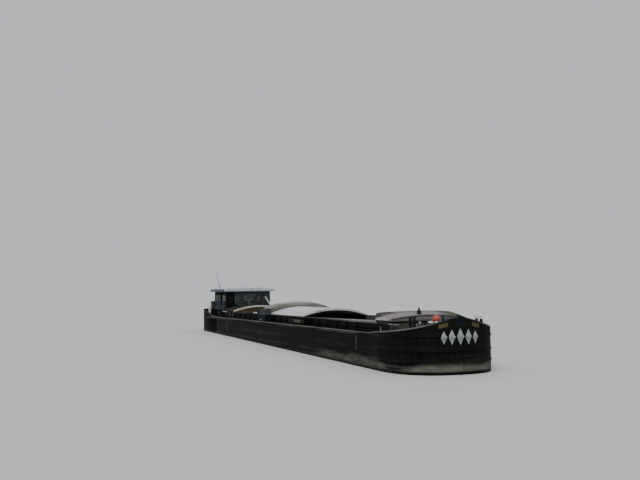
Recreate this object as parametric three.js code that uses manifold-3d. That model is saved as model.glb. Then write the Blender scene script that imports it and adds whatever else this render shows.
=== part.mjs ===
// A canal motor barge of the small French lock gauge, afloat with its hold partly open.
// Millimetres. +X points to the bow, +Y to port, +Z up. The origin is under the middle of the flat bottom.
import * as THREE from 'three';
import { mergeVertices } from 'three/addons/utils/BufferGeometryUtils.js';
import Module from 'manifold-3d';

const wasm = await Module();
wasm.setup();

// Driving dimensions of the hull
const LENGTH = 38500;
const BEAM = 5050;
const DECK = 2550;
const BOW = LENGTH / 2;
const STERN = -LENGTH / 2;
const HALF_BEAM = BEAM / 2;
const STEM = BOW - 35;
const SEAT = 0.3;
const RUNNING_GAP = 5;
const SHAFT_SIDES = 32;
const OVERCUT = 100;
const SKY = 4000;

// Lengthwise stations
const STERN_BLOCK_FRONT = -12900;
const HOLD_AFT = -9700;
const HOLD_FORE = 15200;

// Hull shell
const BOTTOM = 300;
const BILGE = 160;
const SHELL = 110;
const RUBBER = 35;
const SHELL_Y = HALF_BEAM - RUBBER;
const DECK_PLATE = 90;
const TOE_RAIL = 40;
const RAIL = 70;
const COAMING_Y = 2000;
const COAMING_THICK = 60;
const COAMING_TOP = 3070;
const HOLD_Y = COAMING_Y - COAMING_THICK;

// Hatch covers: arched panels that span the coamings. The hold is open aft and forward of them.
const COVER_EDGE = 30;
const COVER_RISE = 400;
const COVER_THICK = 110;
const COVER_SPAN = COAMING_Y + 20;
const PANEL_GAP = 15;
const MID_ROW = { aft: -900, panel: 1210, count: 5 };
const AFT_ROW = { aft: MID_ROW.aft - 1440, panel: 1440, count: 1 };
const STACK_SHIFTS = [-40, 0, -25];

// Aft cabin and wheelhouse
const CABIN_AFT = -12840;
const CABIN_WALL_TOP = 3100;
const CABIN_CROWN = 3500;
const HOUSE_FRONT = -12860;
const HOUSE_AFT = -16450;
const HOUSE_Y = 1750;
const HOUSE_FLOOR = 2340;
const HOUSE_SILL = 3530;
const SIDE_SILL = 3790;
const HOUSE_HEADER = 4200;
const HOUSE_TOP = 4510;
const ROOF_FRONT = -12700;
const ROOF_AFT = -16600;
const ROOF_Y = 2080;
const ROOF_EDGE = 4700;
const ROOF_CROWN = 4790;
const WALL = 60;

const parts = new THREE.Group();

function finish(color, roughness, metalness = 0) {
  return { color, roughness, metalness };
}

const FINISH = {
  hullBlack: finish(0x1b1e1d, 0.6),
  deckGrey: finish(0x6d6f6a, 0.8),
  coaming: finish(0x26292a, 0.6),
  coverWhite: finish(0xe3e1ea, 0.5, 0.2),
  coverGrey: finish(0x9b9c92, 0.6, 0.2),
  canvas: finish(0x9a8b7c, 0.9),
  houseDark: finish(0x23282a, 0.5),
  housePale: finish(0xa9b4ad, 0.5),
  roofWhite: finish(0xd9d8e8, 0.5),
  wood: finish(0x8a4a2a, 0.5),
  steel: finish(0x8d9296, 0.4, 0.7),
  bronze: finish(0xa07a3c, 0.35, 0.9),
  rubberOrange: finish(0xd8502c, 0.6),
  white: finish(0xf0eff0, 0.5),
  engine: finish(0x3f5a4c, 0.6),
  leather: finish(0x2b2522, 0.7),
};

function add(name, geometry, look) {
  const mesh = new THREE.Mesh(geometry, new THREE.MeshStandardMaterial(look));
  mesh.name = name;
  parts.add(mesh);
  return mesh;
}

// Shape helpers
function box(x0, x1, y0, y1, z0, z1) {
  const geometry = new THREE.BoxGeometry(x1 - x0, y1 - y0, z1 - z0);
  return geometry.translate((x0 + x1) / 2, (y0 + y1) / 2, (z0 + z1) / 2);
}

function extrude(points, depth, basis, start) {
  const shape = new THREE.Shape(points.map(([a, b]) => new THREE.Vector2(a, b)));
  const geometry = new THREE.ExtrudeGeometry(shape, { depth, bevelEnabled: false });
  return geometry.applyMatrix4(basis).translate(start.x, start.y, start.z);
}

const AXIS = {
  x: new THREE.Vector3(1, 0, 0),
  y: new THREE.Vector3(0, 1, 0),
  z: new THREE.Vector3(0, 0, 1),
};

// A section drawn in Y and Z, run along X
function alongX(points, x0, x1) {
  const basis = new THREE.Matrix4().makeBasis(AXIS.y, AXIS.z, AXIS.x);
  return extrude(points, x1 - x0, basis, new THREE.Vector3(x0, 0, 0));
}

// A side view drawn in X and Z, run along Y
function alongY(points, y0, y1) {
  const basis = new THREE.Matrix4().makeBasis(AXIS.x, AXIS.z, AXIS.y.clone().negate());
  return extrude(points, y1 - y0, basis, new THREE.Vector3(0, y1, 0));
}

// A round bar or disc from one point to another
function rod(from, to, radius, sides = 16, endRadius = radius) {
  const line = to.clone().sub(from);
  const geometry = new THREE.CylinderGeometry(endRadius, radius, line.length(), sides);
  const turn = new THREE.Quaternion().setFromUnitVectors(AXIS.y, line.clone().normalize());
  const middle = from.clone().add(to).multiplyScalar(0.5);
  return geometry.applyQuaternion(turn).translate(middle.x, middle.y, middle.z);
}

function at(x, y, z) {
  return new THREE.Vector3(x, y, z);
}

// The radius of a many-sided hole that a turning bar just clears
function boreFor(radius, sides = SHAFT_SIDES) {
  return (radius + SEAT + 0.1) / Math.cos(Math.PI / sides);
}

function solid(geometry) {
  const bare = geometry.clone();
  bare.deleteAttribute('normal');
  bare.deleteAttribute('uv');
  const merged = mergeVertices(bare, 0.001);
  const mesh = new wasm.Mesh({
    numProp: 3,
    vertProperties: new Float32Array(merged.attributes.position.array),
    triVerts: new Uint32Array(merged.index.array),
  });
  return new wasm.Manifold(mesh);
}

function geometryOf(body) {
  const mesh = body.getMesh();
  const geometry = new THREE.BufferGeometry();
  geometry.setAttribute('position', new THREE.BufferAttribute(mesh.vertProperties, 3));
  geometry.setIndex(new THREE.BufferAttribute(mesh.triVerts, 1));
  geometry.computeVertexNormals();
  return geometry;
}

function join(...shapes) {
  return geometryOf(shapes.map(solid).reduce((whole, piece) => whole.add(piece)));
}

function cut(shape, ...tools) {
  return geometryOf(tools.map(solid).reduce((rest, tool) => rest.subtract(tool), solid(shape)));
}

// A solid through level rings of points, each running round the hull's end from one side to the other.
// Opposite points are paired across the hull, so the top and bottom are strips from side to side.
function stackRings(rings) {
  const count = rings[0].length;
  const points = rings.flat();
  const faces = [];
  const quad = (a, b, c, d) => faces.push(a, b, c, a, c, d);
  for (let level = 0; level + 1 < rings.length; level += 1) {
    const low = level * count;
    const high = low + count;
    for (let i = 0; i < count; i += 1) {
      const next = (i + 1) % count;
      quad(low + i, low + next, high + next, high + i);
    }
  }
  const top = (rings.length - 1) * count;
  for (let i = 0; i < Math.floor((count - 1) / 2); i += 1) {
    const far = count - 1 - i;
    const meets = i + 1 === far - 1;
    if (meets) {
      faces.push(top + i, top + i + 1, top + far);
      faces.push(far, i + 1, i);
    } else {
      quad(top + i, top + i + 1, top + far - 1, top + far);
      quad(far, far - 1, i + 1, i);
    }
  }
  const geometry = new THREE.BufferGeometry().setFromPoints(points);
  geometry.setIndex(faces);
  return geometry;
}

// The plan of a rounded end: straight sides, then a superellipse.
// side +1 is the bow and -1 the stern. The points run anticlockwise, seen from above.
function endPlan(side, corner, start, length, power, halfWidth, steps = 24) {
  const plan = [];
  plan.push([corner, -side * halfWidth]);
  for (let i = 0; i <= steps; i += 1) {
    const angle = Math.PI * (i / steps - 0.5);
    const out = Math.abs(Math.cos(angle)) ** (2 / power);
    const across = Math.sign(Math.sin(angle)) * Math.abs(Math.sin(angle)) ** (2 / power);
    plan.push([start + side * length * (i % steps === 0 ? 0 : out), side * across * halfWidth]);
  }
  plan.push([corner, side * halfWidth]);
  return plan;
}

const BOW_START = 16380;
const BOW_LENGTH = STEM - BOW_START;
const BOW_POWER = 2.47;
const STERN_START = -16650;
const STERN_LENGTH = STERN_START - STERN;
const STERN_POWER = 2.4;

// Height of the rail: from the low toe rail at the hold it sweeps up round the bow to the stem
const BOW_SWEEP = { height: 760, reach: 2300, power: 1.25, ease: 800 };

function bowHalfWidth(x) {
  const share = Math.min(1, Math.max(0, (x - BOW_START) / BOW_LENGTH));
  return SHELL_Y * (1 - share ** BOW_POWER) ** (1 / BOW_POWER);
}

function smooth(share) {
  const held = Math.min(1, Math.max(0, share));
  return held * held * (3 - 2 * held);
}

function bowRail(x) {
  const { height, reach, power, ease } = BOW_SWEEP;
  const around = (bowHalfWidth(x) ** 1.5 + Math.max(0, STEM - x) ** 1.5) ** (1 / 1.5);
  return DECK + TOE_RAIL + height * Math.exp(-((around / reach) ** power)) * smooth((x - HOLD_FORE) / ease);
}

const FOREDECK_RISE = { low: 8, high: 268 };

function bowDeck(x) {
  const share = Math.max(0, (x - HOLD_FORE) / (BOW - HOLD_FORE));
  return DECK + FOREDECK_RISE.low + (FOREDECK_RISE.high - FOREDECK_RISE.low) * share * share;
}

const STERN_SWEEP = { from: -13500, to: -17800, height: 520 };

function sternRail(x) {
  const { from, to, height } = STERN_SWEEP;
  return DECK + TOE_RAIL + height * smooth((from - x) / (from - to));
}

// Bow block: flat bottom with a rounded forefoot, upright above the water, with rubbing strakes
const BOW_LEVELS = [
  // height, how far the stem stands back, how far the sides stand in
  { z: 0, back: 900, inset: 150 },
  { z: 50, back: 640, inset: 70 },
  { z: 160, back: 420, inset: 0 },
  { z: 450, back: 160, inset: 0 },
  { z: 900, back: 20, inset: 0 },
  { z: 1300, back: 0, inset: 0 },
];
const BOW_STRAKES = [
  // middle height, height, how far it stands out
  { z: 1470, height: 90, out: RUBBER },
  { z: 1940, height: 80, out: RUBBER },
  { z: 2530, height: 110, out: RUBBER },
];

function bowRing(height, back, inset) {
  const plan = endPlan(1, HOLD_FORE + SEAT, BOW_START, BOW_LENGTH - back, BOW_POWER, SHELL_Y - inset);
  return plan.map(([x, y]) => at(x, y, typeof height === 'function' ? height(x) : height));
}

// A strake is welded into the shell and stands out from it with sloping edges
const STRAKE_ROOT = 60;

function strakeRings(ring, { z, height, out }) {
  const half = height / 2;
  return stackRings([
    ring(z - half, STRAKE_ROOT),
    ring(z - half + 0.1, 0),
    ring(z - half / 2, -out),
    ring(z + half / 2, -out),
    ring(z + half - 0.1, 0),
    ring(z + half, STRAKE_ROOT),
  ]);
}

function bowStrakeRing(z, inset) {
  return bowRing(z, inset, inset);
}

function foredeckPlan() {
  return endPlan(1, HOLD_FORE - OVERCUT, BOW_START, BOW_LENGTH - RAIL, BOW_POWER, SHELL_Y - RAIL);
}

const STEM_BAR = { halfWidth: 35, foot: 300, low: 620, standsOut: 900, high: 1800, top: 1900, root: 300 };
const STEM_HEAD = { halfWidth: 60, aft: 170, fore: 20, low: 3000, high: 3440 };

function hullBow() {
  const rings = BOW_LEVELS.map(({ z, back, inset }) => bowRing(z, back, inset));
  rings.push(bowRing(bowRail, 0, 0));
  const wellPlan = foredeckPlan();
  const well = stackRings([
    wellPlan.map(([x, y]) => at(x, y, bowDeck(x))),
    wellPlan.map(([x, y]) => at(x, y, SKY)),
  ]);
  const { halfWidth, foot, low, standsOut, high, top, root } = STEM_BAR;
  const stemBar = alongY([
    [STEM - 240, foot],
    [STEM + 10, low],
    [BOW, standsOut],
    [BOW, high],
    [STEM - 20, top],
    [STEM - root, top],
  ], -halfWidth, halfWidth);
  const head = box(
    STEM - STEM_HEAD.aft, STEM - STEM_HEAD.fore, -STEM_HEAD.halfWidth, STEM_HEAD.halfWidth,
    STEM_HEAD.low, STEM_HEAD.high,
  );
  const block = solid(stackRings(rings));
  const shell = BOW_STRAKES.reduce((whole, row) => whole.add(solid(strakeRings(bowStrakeRing, row))), block);
  return geometryOf(shell.subtract(solid(well)).add(solid(head)).add(solid(stemBar)));
}

// Stern block: the run narrows to the shaft below the counter, with a pocket for the engine
const STERN_LEVELS = [
  // height, where the curve starts, its length, its fullness, side inset
  { z: 0, start: -13000, length: 3500, power: 1.35, inset: 150 },
  { z: 50, start: -13000, length: 3600, power: 1.4, inset: 70 },
  { z: 160, start: -13000, length: 3700, power: 1.45, inset: 0 },
  { z: 620, start: -13000, length: 3900, power: 1.6, inset: 0 },
  { z: 1000, start: -13000, length: 4050, power: 1.9, inset: 0 },
  { z: 1170, start: -13600, length: 3480, power: 2.2, inset: 0 },
  { z: 1190, start: -15200, length: 3700, power: 2.3, inset: 0 },
  { z: 1320, start: STERN_START, length: STERN_LENGTH - 200, power: STERN_POWER, inset: 0 },
  { z: 1500, start: STERN_START, length: STERN_LENGTH - RUBBER, power: STERN_POWER, inset: 0 },
];
const STERN_STRAKE = { z: 2530, height: 110, out: RUBBER };
const ENGINE_ROOM = { aft: -15900, fore: -13400, halfWidth: 900, floor: 450 };
const SHAFT_Z = 620;
const SHAFT_RADIUS = 45;
const SHAFT_EXIT = -17500;
const TRUNK = { low: 1100, high: 1500 };
const HEEL = { fore: -15000, aft: 150, halfWidth: 60, height: 80, pintle: 70 };
const FLOOR_PLATE = 60;

function sternRing({ z, start, length, power, inset }) {
  const plan = endPlan(-1, STERN_BLOCK_FRONT - SEAT, start, length, power, SHELL_Y - inset);
  return plan.map(([x, y]) => at(x, y, typeof z === 'function' ? z(x) : z));
}

function sternDeckRing(z, inset) {
  return sternRing({
    z, start: STERN_START, length: STERN_LENGTH - RUBBER - inset, power: STERN_POWER, inset,
  });
}

function hullStern() {
  const rings = STERN_LEVELS.map(sternRing);
  rings.push(sternDeckRing(sternRail, 0));
  const strake = strakeRings(sternDeckRing, STERN_STRAKE);
  const wellPlan = endPlan(
    -1, STERN_BLOCK_FRONT + OVERCUT, STERN_START, STERN_LENGTH - RUBBER - RAIL, STERN_POWER, SHELL_Y - RAIL,
  );
  const well = stackRings([
    wellPlan.map(([x, y]) => at(x, y, DECK)),
    wellPlan.map(([x, y]) => at(x, y, SKY)),
  ]);
  const recess = box(
    HOUSE_AFT + WALL + SEAT, HOUSE_FRONT - WALL - SEAT, -HOUSE_Y + WALL + SEAT, HOUSE_Y - WALL - SEAT,
    HOUSE_FLOOR - FLOOR_PLATE, DECK + OVERCUT,
  );
  const { aft, fore, halfWidth, floor } = ENGINE_ROOM;
  const engineRoom = box(aft, fore, -halfWidth, halfWidth, floor, DECK);
  const bore = (from, to, radius) => rod(from, to, boreFor(radius), SHAFT_SIDES);
  const shaftHole = bore(at(SHAFT_EXIT, 0, SHAFT_Z), at(aft + OVERCUT, 0, SHAFT_Z), SHAFT_RADIUS);
  const rudderHole = bore(at(RUDDER_X, 0, TRUNK.low), at(RUDDER_X, 0, TRUNK.high), STOCK_RADIUS);
  const heel = join(
    box(RUDDER_X - HEEL.aft, HEEL.fore, -HEEL.halfWidth, HEEL.halfWidth, 0, HEEL.height),
    rod(at(RUDDER_X, 0, 0), at(RUDDER_X, 0, RUDDER.low - SEAT), HEEL.pintle, 16),
  );
  let body = solid(stackRings(rings)).add(solid(strake)).subtract(solid(well)).add(solid(heel));
  body = body.subtract(solid(recess)).subtract(solid(engineRoom));
  return geometryOf(body.subtract(solid(shaftHole)).subtract(solid(rudderHole)));
}

// Middle of the hull: bottom, sides with their deck, the bulkhead between hold and cabin
function hullBottom() {
  const steps = 4;
  const corner = (side) => Array.from({ length: steps + 1 }, (_, i) => {
    const angle = (Math.PI / 2) * (i / steps);
    return [side * (SHELL_Y - BILGE + BILGE * Math.sin(angle)), BILGE - BILGE * Math.cos(angle)];
  });
  const section = [...corner(1), [SHELL_Y, BOTTOM], [-SHELL_Y, BOTTOM], ...corner(-1).reverse()];
  return alongX(section, STERN_BLOCK_FRONT, HOLD_FORE);
}

const TOE_RAIL_THICK = 25;

function hullSide(side) {
  const outer = SHELL_Y;
  const { z, height } = STERN_STRAKE;
  const section = [
    [outer - SHELL, BOTTOM + SEAT],
    [outer, BOTTOM + SEAT],
    [outer, z - height / 2],
    [HALF_BEAM, z - height / 4],
    [HALF_BEAM, z + height / 4],
    [outer, z + height / 2],
    [outer, DECK + TOE_RAIL],
    [outer - TOE_RAIL_THICK, DECK + TOE_RAIL],
    [outer - TOE_RAIL_THICK, DECK],
    [HOLD_Y, DECK],
    [HOLD_Y, DECK - DECK_PLATE],
    [outer - SHELL, DECK - DECK_PLATE],
  ].map(([y, z]) => [side * y, z]);
  return alongX(side > 0 ? section : section.reverse(), STERN_BLOCK_FRONT, HOLD_FORE);
}

function holdBulkhead() {
  const inner = SHELL_Y - SHELL - SEAT;
  const deckEdge = HOLD_Y - SEAT;
  const section = [
    [-inner, BOTTOM + SEAT],
    [inner, BOTTOM + SEAT],
    [inner, DECK - DECK_PLATE - SEAT],
    [deckEdge, DECK - DECK_PLATE - SEAT],
    [deckEdge, DECK],
    [-deckEdge, DECK],
    [-deckEdge, DECK - DECK_PLATE - SEAT],
    [-inner, DECK - DECK_PLATE - SEAT],
  ];
  return alongX(section, HOLD_AFT - BULKHEAD, HOLD_AFT);
}

const COAMING_LIP = { out: 30, depth: 60 };

function coaming(side) {
  const lip = COAMING_Y + COAMING_LIP.out;
  const section = [
    [COAMING_Y, DECK + SEAT],
    [COAMING_Y, COAMING_TOP - COAMING_LIP.depth - 10],
    [lip, COAMING_TOP - COAMING_LIP.depth],
    [lip, COAMING_TOP],
    [HOLD_Y, COAMING_TOP],
    [HOLD_Y, DECK + SEAT],
  ].map(([y, z]) => [side * y, z]);
  return alongX(side > 0 ? section : section.reverse(), HOLD_AFT, HOLD_FORE);
}

function foreCoaming() {
  return box(
    HOLD_FORE - COAMING_THICK, HOLD_FORE, -HOLD_Y + SEAT, HOLD_Y - SEAT, BOTTOM + SEAT, COAMING_TOP,
  );
}

// An arch between two springing points: half width, springing height, rise
function arch(halfWidth, spring, rise, steps = 16) {
  return Array.from({ length: steps + 1 }, (_, i) => {
    const y = halfWidth * (1 - (2 * i) / steps);
    return [y, spring + rise * (1 - (y / halfWidth) ** 2)];
  });
}

function coverPanel(x0, x1, base) {
  const outer = arch(COVER_SPAN, base + COVER_EDGE, COVER_RISE);
  const inner = arch(HOLD_Y, base, COVER_RISE + COVER_EDGE - COVER_THICK).reverse();
  return alongX([...outer, [-COVER_SPAN, base], ...inner, [COVER_SPAN, base]], x0, x1);
}

// Fore house: a store across the boat ahead of the hold, whose thick roof falls towards the bow
const FORE_HOUSE = { aft: HOLD_FORE + SEAT, fore: 16400, halfWidth: COAMING_Y };
const FORE_ROOF = [
  // place, height of the shoulder, height of the crown
  { x: 14980, shoulder: 3500, crown: 3560 },
  { x: 15700, shoulder: 3400, crown: 3500 },
  { x: 16430, shoulder: 3260, crown: 3410 },
];
const FORE_ROOF_ROUND = 170;

function foreRoofTop(x) {
  const i = x < FORE_ROOF[1].x ? 0 : 1;
  const share = (x - FORE_ROOF[i].x) / (FORE_ROOF[i + 1].x - FORE_ROOF[i].x);
  return FORE_ROOF[i].crown + share * (FORE_ROOF[i + 1].crown - FORE_ROOF[i].crown);
}

function foreHouse() {
  const { aft, fore, halfWidth } = FORE_HOUSE;
  return onForedeck(box(aft, fore, -halfWidth, halfWidth, DECK - 50, COAMING_TOP));
}

function foreRoof() {
  const side = FORE_HOUSE.halfWidth + 10;
  const base = COAMING_TOP + SEAT;
  const sections = FORE_ROOF.map(({ x, shoulder, crown }) => {
    const round = Math.min(FORE_ROOF_ROUND, shoulder - base - 20);
    const corner = [1, 2, 3].map((step) => {
      const angle = (Math.PI / 2) * (step / 4);
      return [side - round + round * Math.cos(angle), shoulder - round + round * Math.sin(angle)];
    });
    const half = [[side, base], [side, shoulder - round], ...corner];
    const top = arch(side - round, shoulder, crown - shoulder, 12);
    const mirrored = half.map(([y, z]) => [-y, z]).reverse();
    return [...half, ...top, ...mirrored].map(([y, z]) => at(x, y, z));
  });
  return loftSections(sections);
}

// A solid through upright sections with the same number of points, anticlockwise seen from the bow
function loftSections(sections) {
  const count = sections[0].length;
  const faces = [];
  for (let s = 0; s + 1 < sections.length; s += 1) {
    for (let i = 0; i < count; i += 1) {
      const next = (i + 1) % count;
      const a = s * count + i;
      const b = s * count + next;
      faces.push(a, b, b + count, a, b + count, a + count);
    }
  }
  const flat = (ring) => ring.map((p) => new THREE.Vector2(p.y, p.z));
  const last = (sections.length - 1) * count;
  for (const [a, b, c] of THREE.ShapeUtils.triangulateShape(flat(sections[0]), [])) faces.push(c, b, a);
  for (const [a, b, c] of THREE.ShapeUtils.triangulateShape(flat(sections.at(-1)), [])) {
    faces.push(last + a, last + b, last + c);
  }
  const geometry = new THREE.BufferGeometry().setFromPoints(sections.flat());
  geometry.setIndex(faces);
  return geometry;
}

// A row of panels on their two side runners
function coverRow({ aft, panel, count }, base, seat) {
  const end = aft + count * panel - PANEL_GAP;
  const panels = Array.from({ length: count }, (_, i) => {
    const x0 = aft + i * panel;
    return coverPanel(x0, x0 + panel - PANEL_GAP, base);
  });
  const runners = [-1, 1].map((side) => {
    const inner = side * (HOLD_Y + 10);
    const outer = side * (COVER_SPAN - 10);
    return box(aft + 5, end - 5, Math.min(inner, outer), Math.max(inner, outer), seat, base + COVER_EDGE - 5);
  });
  return join(...panels, ...runners);
}

function covers() {
  const seat = COAMING_TOP + SEAT;
  add('cover_aft', coverRow(AFT_ROW, seat, seat), FINISH.coverGrey);
  STACK_SHIFTS.forEach((shift, i) => {
    const base = seat + (i + 1) * (COVER_THICK + SEAT);
    add(`cover_stack_${i + 1}`, coverRow({ ...AFT_ROW, aft: AFT_ROW.aft + shift }, base, base), FINISH.coverGrey);
  });
  add('cover_mid', coverRow(MID_ROW, COAMING_TOP + RUNNING_GAP, seat), FINISH.coverWhite);
  add('fore_house', foreHouse(), FINISH.coaming);
}

// Aft cabin: low walls along the side decks, an arched roof, windows along both sides
const CABIN_WINDOWS = [-12150, -11250, -10350];
const CABIN_WINDOW = { width: 560, low: 2700, high: 2980 };
const BULKHEAD = 80;
const ROOF_OVERHANG = 60;

function cabinWall(side) {
  const y0 = side > 0 ? HOLD_Y : -COAMING_Y;
  const y1 = side > 0 ? COAMING_Y : -HOLD_Y;
  const wall = box(CABIN_AFT, HOLD_AFT - BULKHEAD - SEAT, y0, y1, DECK + SEAT, CABIN_WALL_TOP);
  const { width, low, high } = CABIN_WINDOW;
  const holes = CABIN_WINDOWS.map((x) => box(x - width / 2, x + width / 2, y0 - 10, y1 + 10, low, high));
  return cut(wall, ...holes);
}

function cabinFront() {
  const top = arch(COAMING_Y, CABIN_WALL_TOP, CABIN_CROWN - CABIN_WALL_TOP - 60);
  const section = [...top, [-COAMING_Y, DECK + SEAT], [COAMING_Y, DECK + SEAT]];
  return alongX(section, HOLD_AFT - BULKHEAD, HOLD_AFT - SEAT);
}

function cabinRoof() {
  const side = COAMING_Y + ROOF_OVERHANG;
  const outer = arch(side, CABIN_WALL_TOP + 30, CABIN_CROWN - CABIN_WALL_TOP - 30);
  const inner = arch(COAMING_Y, CABIN_WALL_TOP + SEAT, CABIN_CROWN - CABIN_WALL_TOP - 60).reverse();
  const section = [...outer, [-side, CABIN_WALL_TOP + SEAT], ...inner, [side, CABIN_WALL_TOP + SEAT]];
  return alongX(section, CABIN_AFT + SEAT, HOLD_AFT - SEAT);
}

// Wheelhouse: sunk a step into the stern deck, glazed all round, doors on both sides
const POST = 90;
const DOOR_TRAVEL = 800;
const RAIL_OUT = 50;
const RAIL_HIGH = 60;
const DOOR = {
  aft: -15250, fore: -14450, low: DECK + 12, high: 4290, top: 4320, windowTop: 4240, thick: 36, lap: 40,
};

const FRONT_PANES = [[-1660, -1200], [-1100, -560], [-460, 460], [560, 1100], [1200, 1660]];
const BACK_PANES = [[-1600, -640], [-480, 480], [640, 1600]];
const FRAME = 200;

function houseFront() {
  const x1 = HOUSE_FRONT;
  const x0 = HOUSE_FRONT - WALL;
  const wall = box(x0, x1, -HOUSE_Y, HOUSE_Y, DECK + SEAT, HOUSE_TOP);
  return cut(wall, ...FRONT_PANES.map(([y0, y1]) => box(x0 - 10, x1 + 10, y0, y1, HOUSE_SILL, HOUSE_HEADER)));
}

function houseBack() {
  const x0 = HOUSE_AFT;
  const x1 = HOUSE_AFT + WALL;
  const wall = box(x0, x1, -HOUSE_Y, HOUSE_Y, DECK + SEAT, HOUSE_TOP);
  return cut(wall, ...BACK_PANES.map(([y0, y1]) => box(x0 - 10, x1 + 10, y0, y1, SIDE_SILL, DOOR.windowTop)));
}

function houseSide(side) {
  const y0 = side > 0 ? HOUSE_Y - WALL : -HOUSE_Y;
  const y1 = y0 + WALL;
  const wall = box(
    HOUSE_AFT + WALL + SEAT, HOUSE_FRONT - WALL - SEAT, y0, y1, DECK + SEAT, HOUSE_TOP,
  );
  const hole = (x0, x1, low, high) => box(x0, x1, y0 - 10, y1 + 10, low, high);
  const holes = [
    hole(HOUSE_AFT + FRAME, DOOR.aft - POST, SIDE_SILL, DOOR.windowTop),
    hole(DOOR.aft, DOOR.fore, DOOR.low, DOOR.high),
    hole(DOOR.fore + POST, HOUSE_FRONT - FRAME, SIDE_SILL, DOOR.windowTop),
  ];
  const out = side > 0 ? y1 - 5 : y0 - RAIL_OUT;
  const rail = box(
    DOOR.aft - DOOR_TRAVEL - 100, DOOR.fore + 100, out, out + RAIL_OUT + 5, DOOR.top + SEAT, DOOR.top + RAIL_HIGH,
  );
  return join(cut(wall, ...holes), rail);
}

function slidingDoor(side) {
  const y0 = side > 0 ? HOUSE_Y + RUNNING_GAP : -HOUSE_Y - RUNNING_GAP - DOOR.thick;
  const y1 = y0 + DOOR.thick;
  const leaf = box(DOOR.aft - DOOR.lap, DOOR.fore + DOOR.lap, y0, y1, DOOR.low - 4, DOOR.top);
  const window = box(DOOR.aft + POST, DOOR.fore - POST, y0 - 10, y1 + 10, SIDE_SILL, DOOR.windowTop);
  return cut(leaf, window);
}

function wheelhouse() {
  const floor = box(
    HOUSE_AFT + WALL + 2, HOUSE_FRONT - WALL - 2, -HOUSE_Y + WALL + 2, HOUSE_Y - WALL - 2,
    HOUSE_FLOOR - FLOOR_PLATE + SEAT, HOUSE_FLOOR,
  );
  add('wheelhouse_floor', floor, FINISH.wood);
  add('wheelhouse_front', houseFront(), FINISH.housePale);
  add('wheelhouse_back', houseBack(), FINISH.houseDark);
  for (const [name, side] of [['starboard', -1], ['port', 1]]) {
    add(`wheelhouse_side_${name}`, houseSide(side), FINISH.houseDark);
    add(`door_${name}`, slidingDoor(side), FINISH.wood);
  }
  const outer = arch(ROOF_Y, ROOF_EDGE, ROOF_CROWN - ROOF_EDGE);
  const shell = alongX([...outer, [-ROOF_Y, HOUSE_TOP + SEAT], [ROOF_Y, HOUSE_TOP + SEAT]], ROOF_AFT, ROOF_FRONT);
  const { x, y, z, ear, cheek } = AERIAL;
  const ears = [-1, 1].map((side) => {
    const middle = y + side * (ear + cheek);
    return box(x - 60, x + 60, middle - cheek, middle + cheek, HOUSE_TOP + 100, z + 60);
  });
  add('wheelhouse_roof', join(shell, ...ears), FINISH.roofWhite);
}

// Helm: a desk under the front windows, a spoked wheel on its hub, a seat on its pedestal
const HELM = { x: -13650, z: 3330, radius: 420, rim: 24, spoke: 16, grip: 110, hub: 60, boss: 70 };
const DESK = { aft: -13500, fore: HOUSE_FRONT - WALL - 40, halfWidth: 700, top: 3300, lip: 3420, slope: -13200 };
const SEAT_BASE = { x: -14840, halfWidth: 260, low: 2980, high: 3080, aft: -15130, fore: -14600, backTop: 3600 };

function helm() {
  const { aft, fore, halfWidth, top, lip, slope } = DESK;
  const desk = join(
    box(aft, fore, -halfWidth, halfWidth, HOUSE_FLOOR + SEAT, top),
    alongY([[aft, top - 10], [fore - 10, top - 10], [fore - 10, lip], [slope, lip]], -halfWidth, halfWidth),
  );
  const hubEnd = aft - 80;
  const hub = rod(at(hubEnd, 0, HELM.z), at(aft + 20, 0, HELM.z), HELM.hub, 16);
  add('helm_desk', join(desk, hub), FINISH.wood);
  const rim = new THREE.TorusGeometry(HELM.radius, HELM.rim, 8, 32);
  rim.rotateY(Math.PI / 2).translate(HELM.x, 0, HELM.z);
  const middle = at(HELM.x, 0, HELM.z);
  const spokes = [0, 1, 2, 3].map((i) => {
    const angle = (Math.PI / 4) * i;
    const reach = at(0, Math.cos(angle), Math.sin(angle)).multiplyScalar(HELM.radius + HELM.grip);
    return rod(middle.clone().sub(reach), middle.clone().add(reach), HELM.spoke, 8);
  });
  const boss = rod(at(HELM.x - 45, 0, HELM.z), at(hubEnd - SEAT, 0, HELM.z), HELM.boss, 16);
  add('steering_wheel', join(boss, rim, ...spokes), FINISH.wood);
  const floor = HOUSE_FLOOR + SEAT;
  const { x, low, high, backTop } = SEAT_BASE;
  const wide = SEAT_BASE.halfWidth;
  const seat = join(
    box(SEAT_BASE.aft + 80, SEAT_BASE.fore, -wide, wide, low, high),
    box(SEAT_BASE.aft, SEAT_BASE.aft + 90, -wide, wide, low + 20, backTop),
    rod(at(x, 0, floor), at(x, 0, low + 10), 60, 16),
    rod(at(x, 0, floor), at(x, 0, floor + 40), 220, 24),
  );
  add('helm_seat', seat, FINISH.leather);
}

// What stands on the wheelhouse roof
const AERIAL = { x: -15000, y: -1700, z: 4820, length: 1250, radius: 30, tip: 18, pin: 38, ear: 60, cheek: 35 };
const LIGHT_BOX = { aft: -14140, fore: -13860, starboard: -280, port: 160, top: 5090, flange: 50 };
const VENT_BOX = { aft: -14080, fore: -13860, starboard: 1790, port: 2010, top: 5030 };

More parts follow.
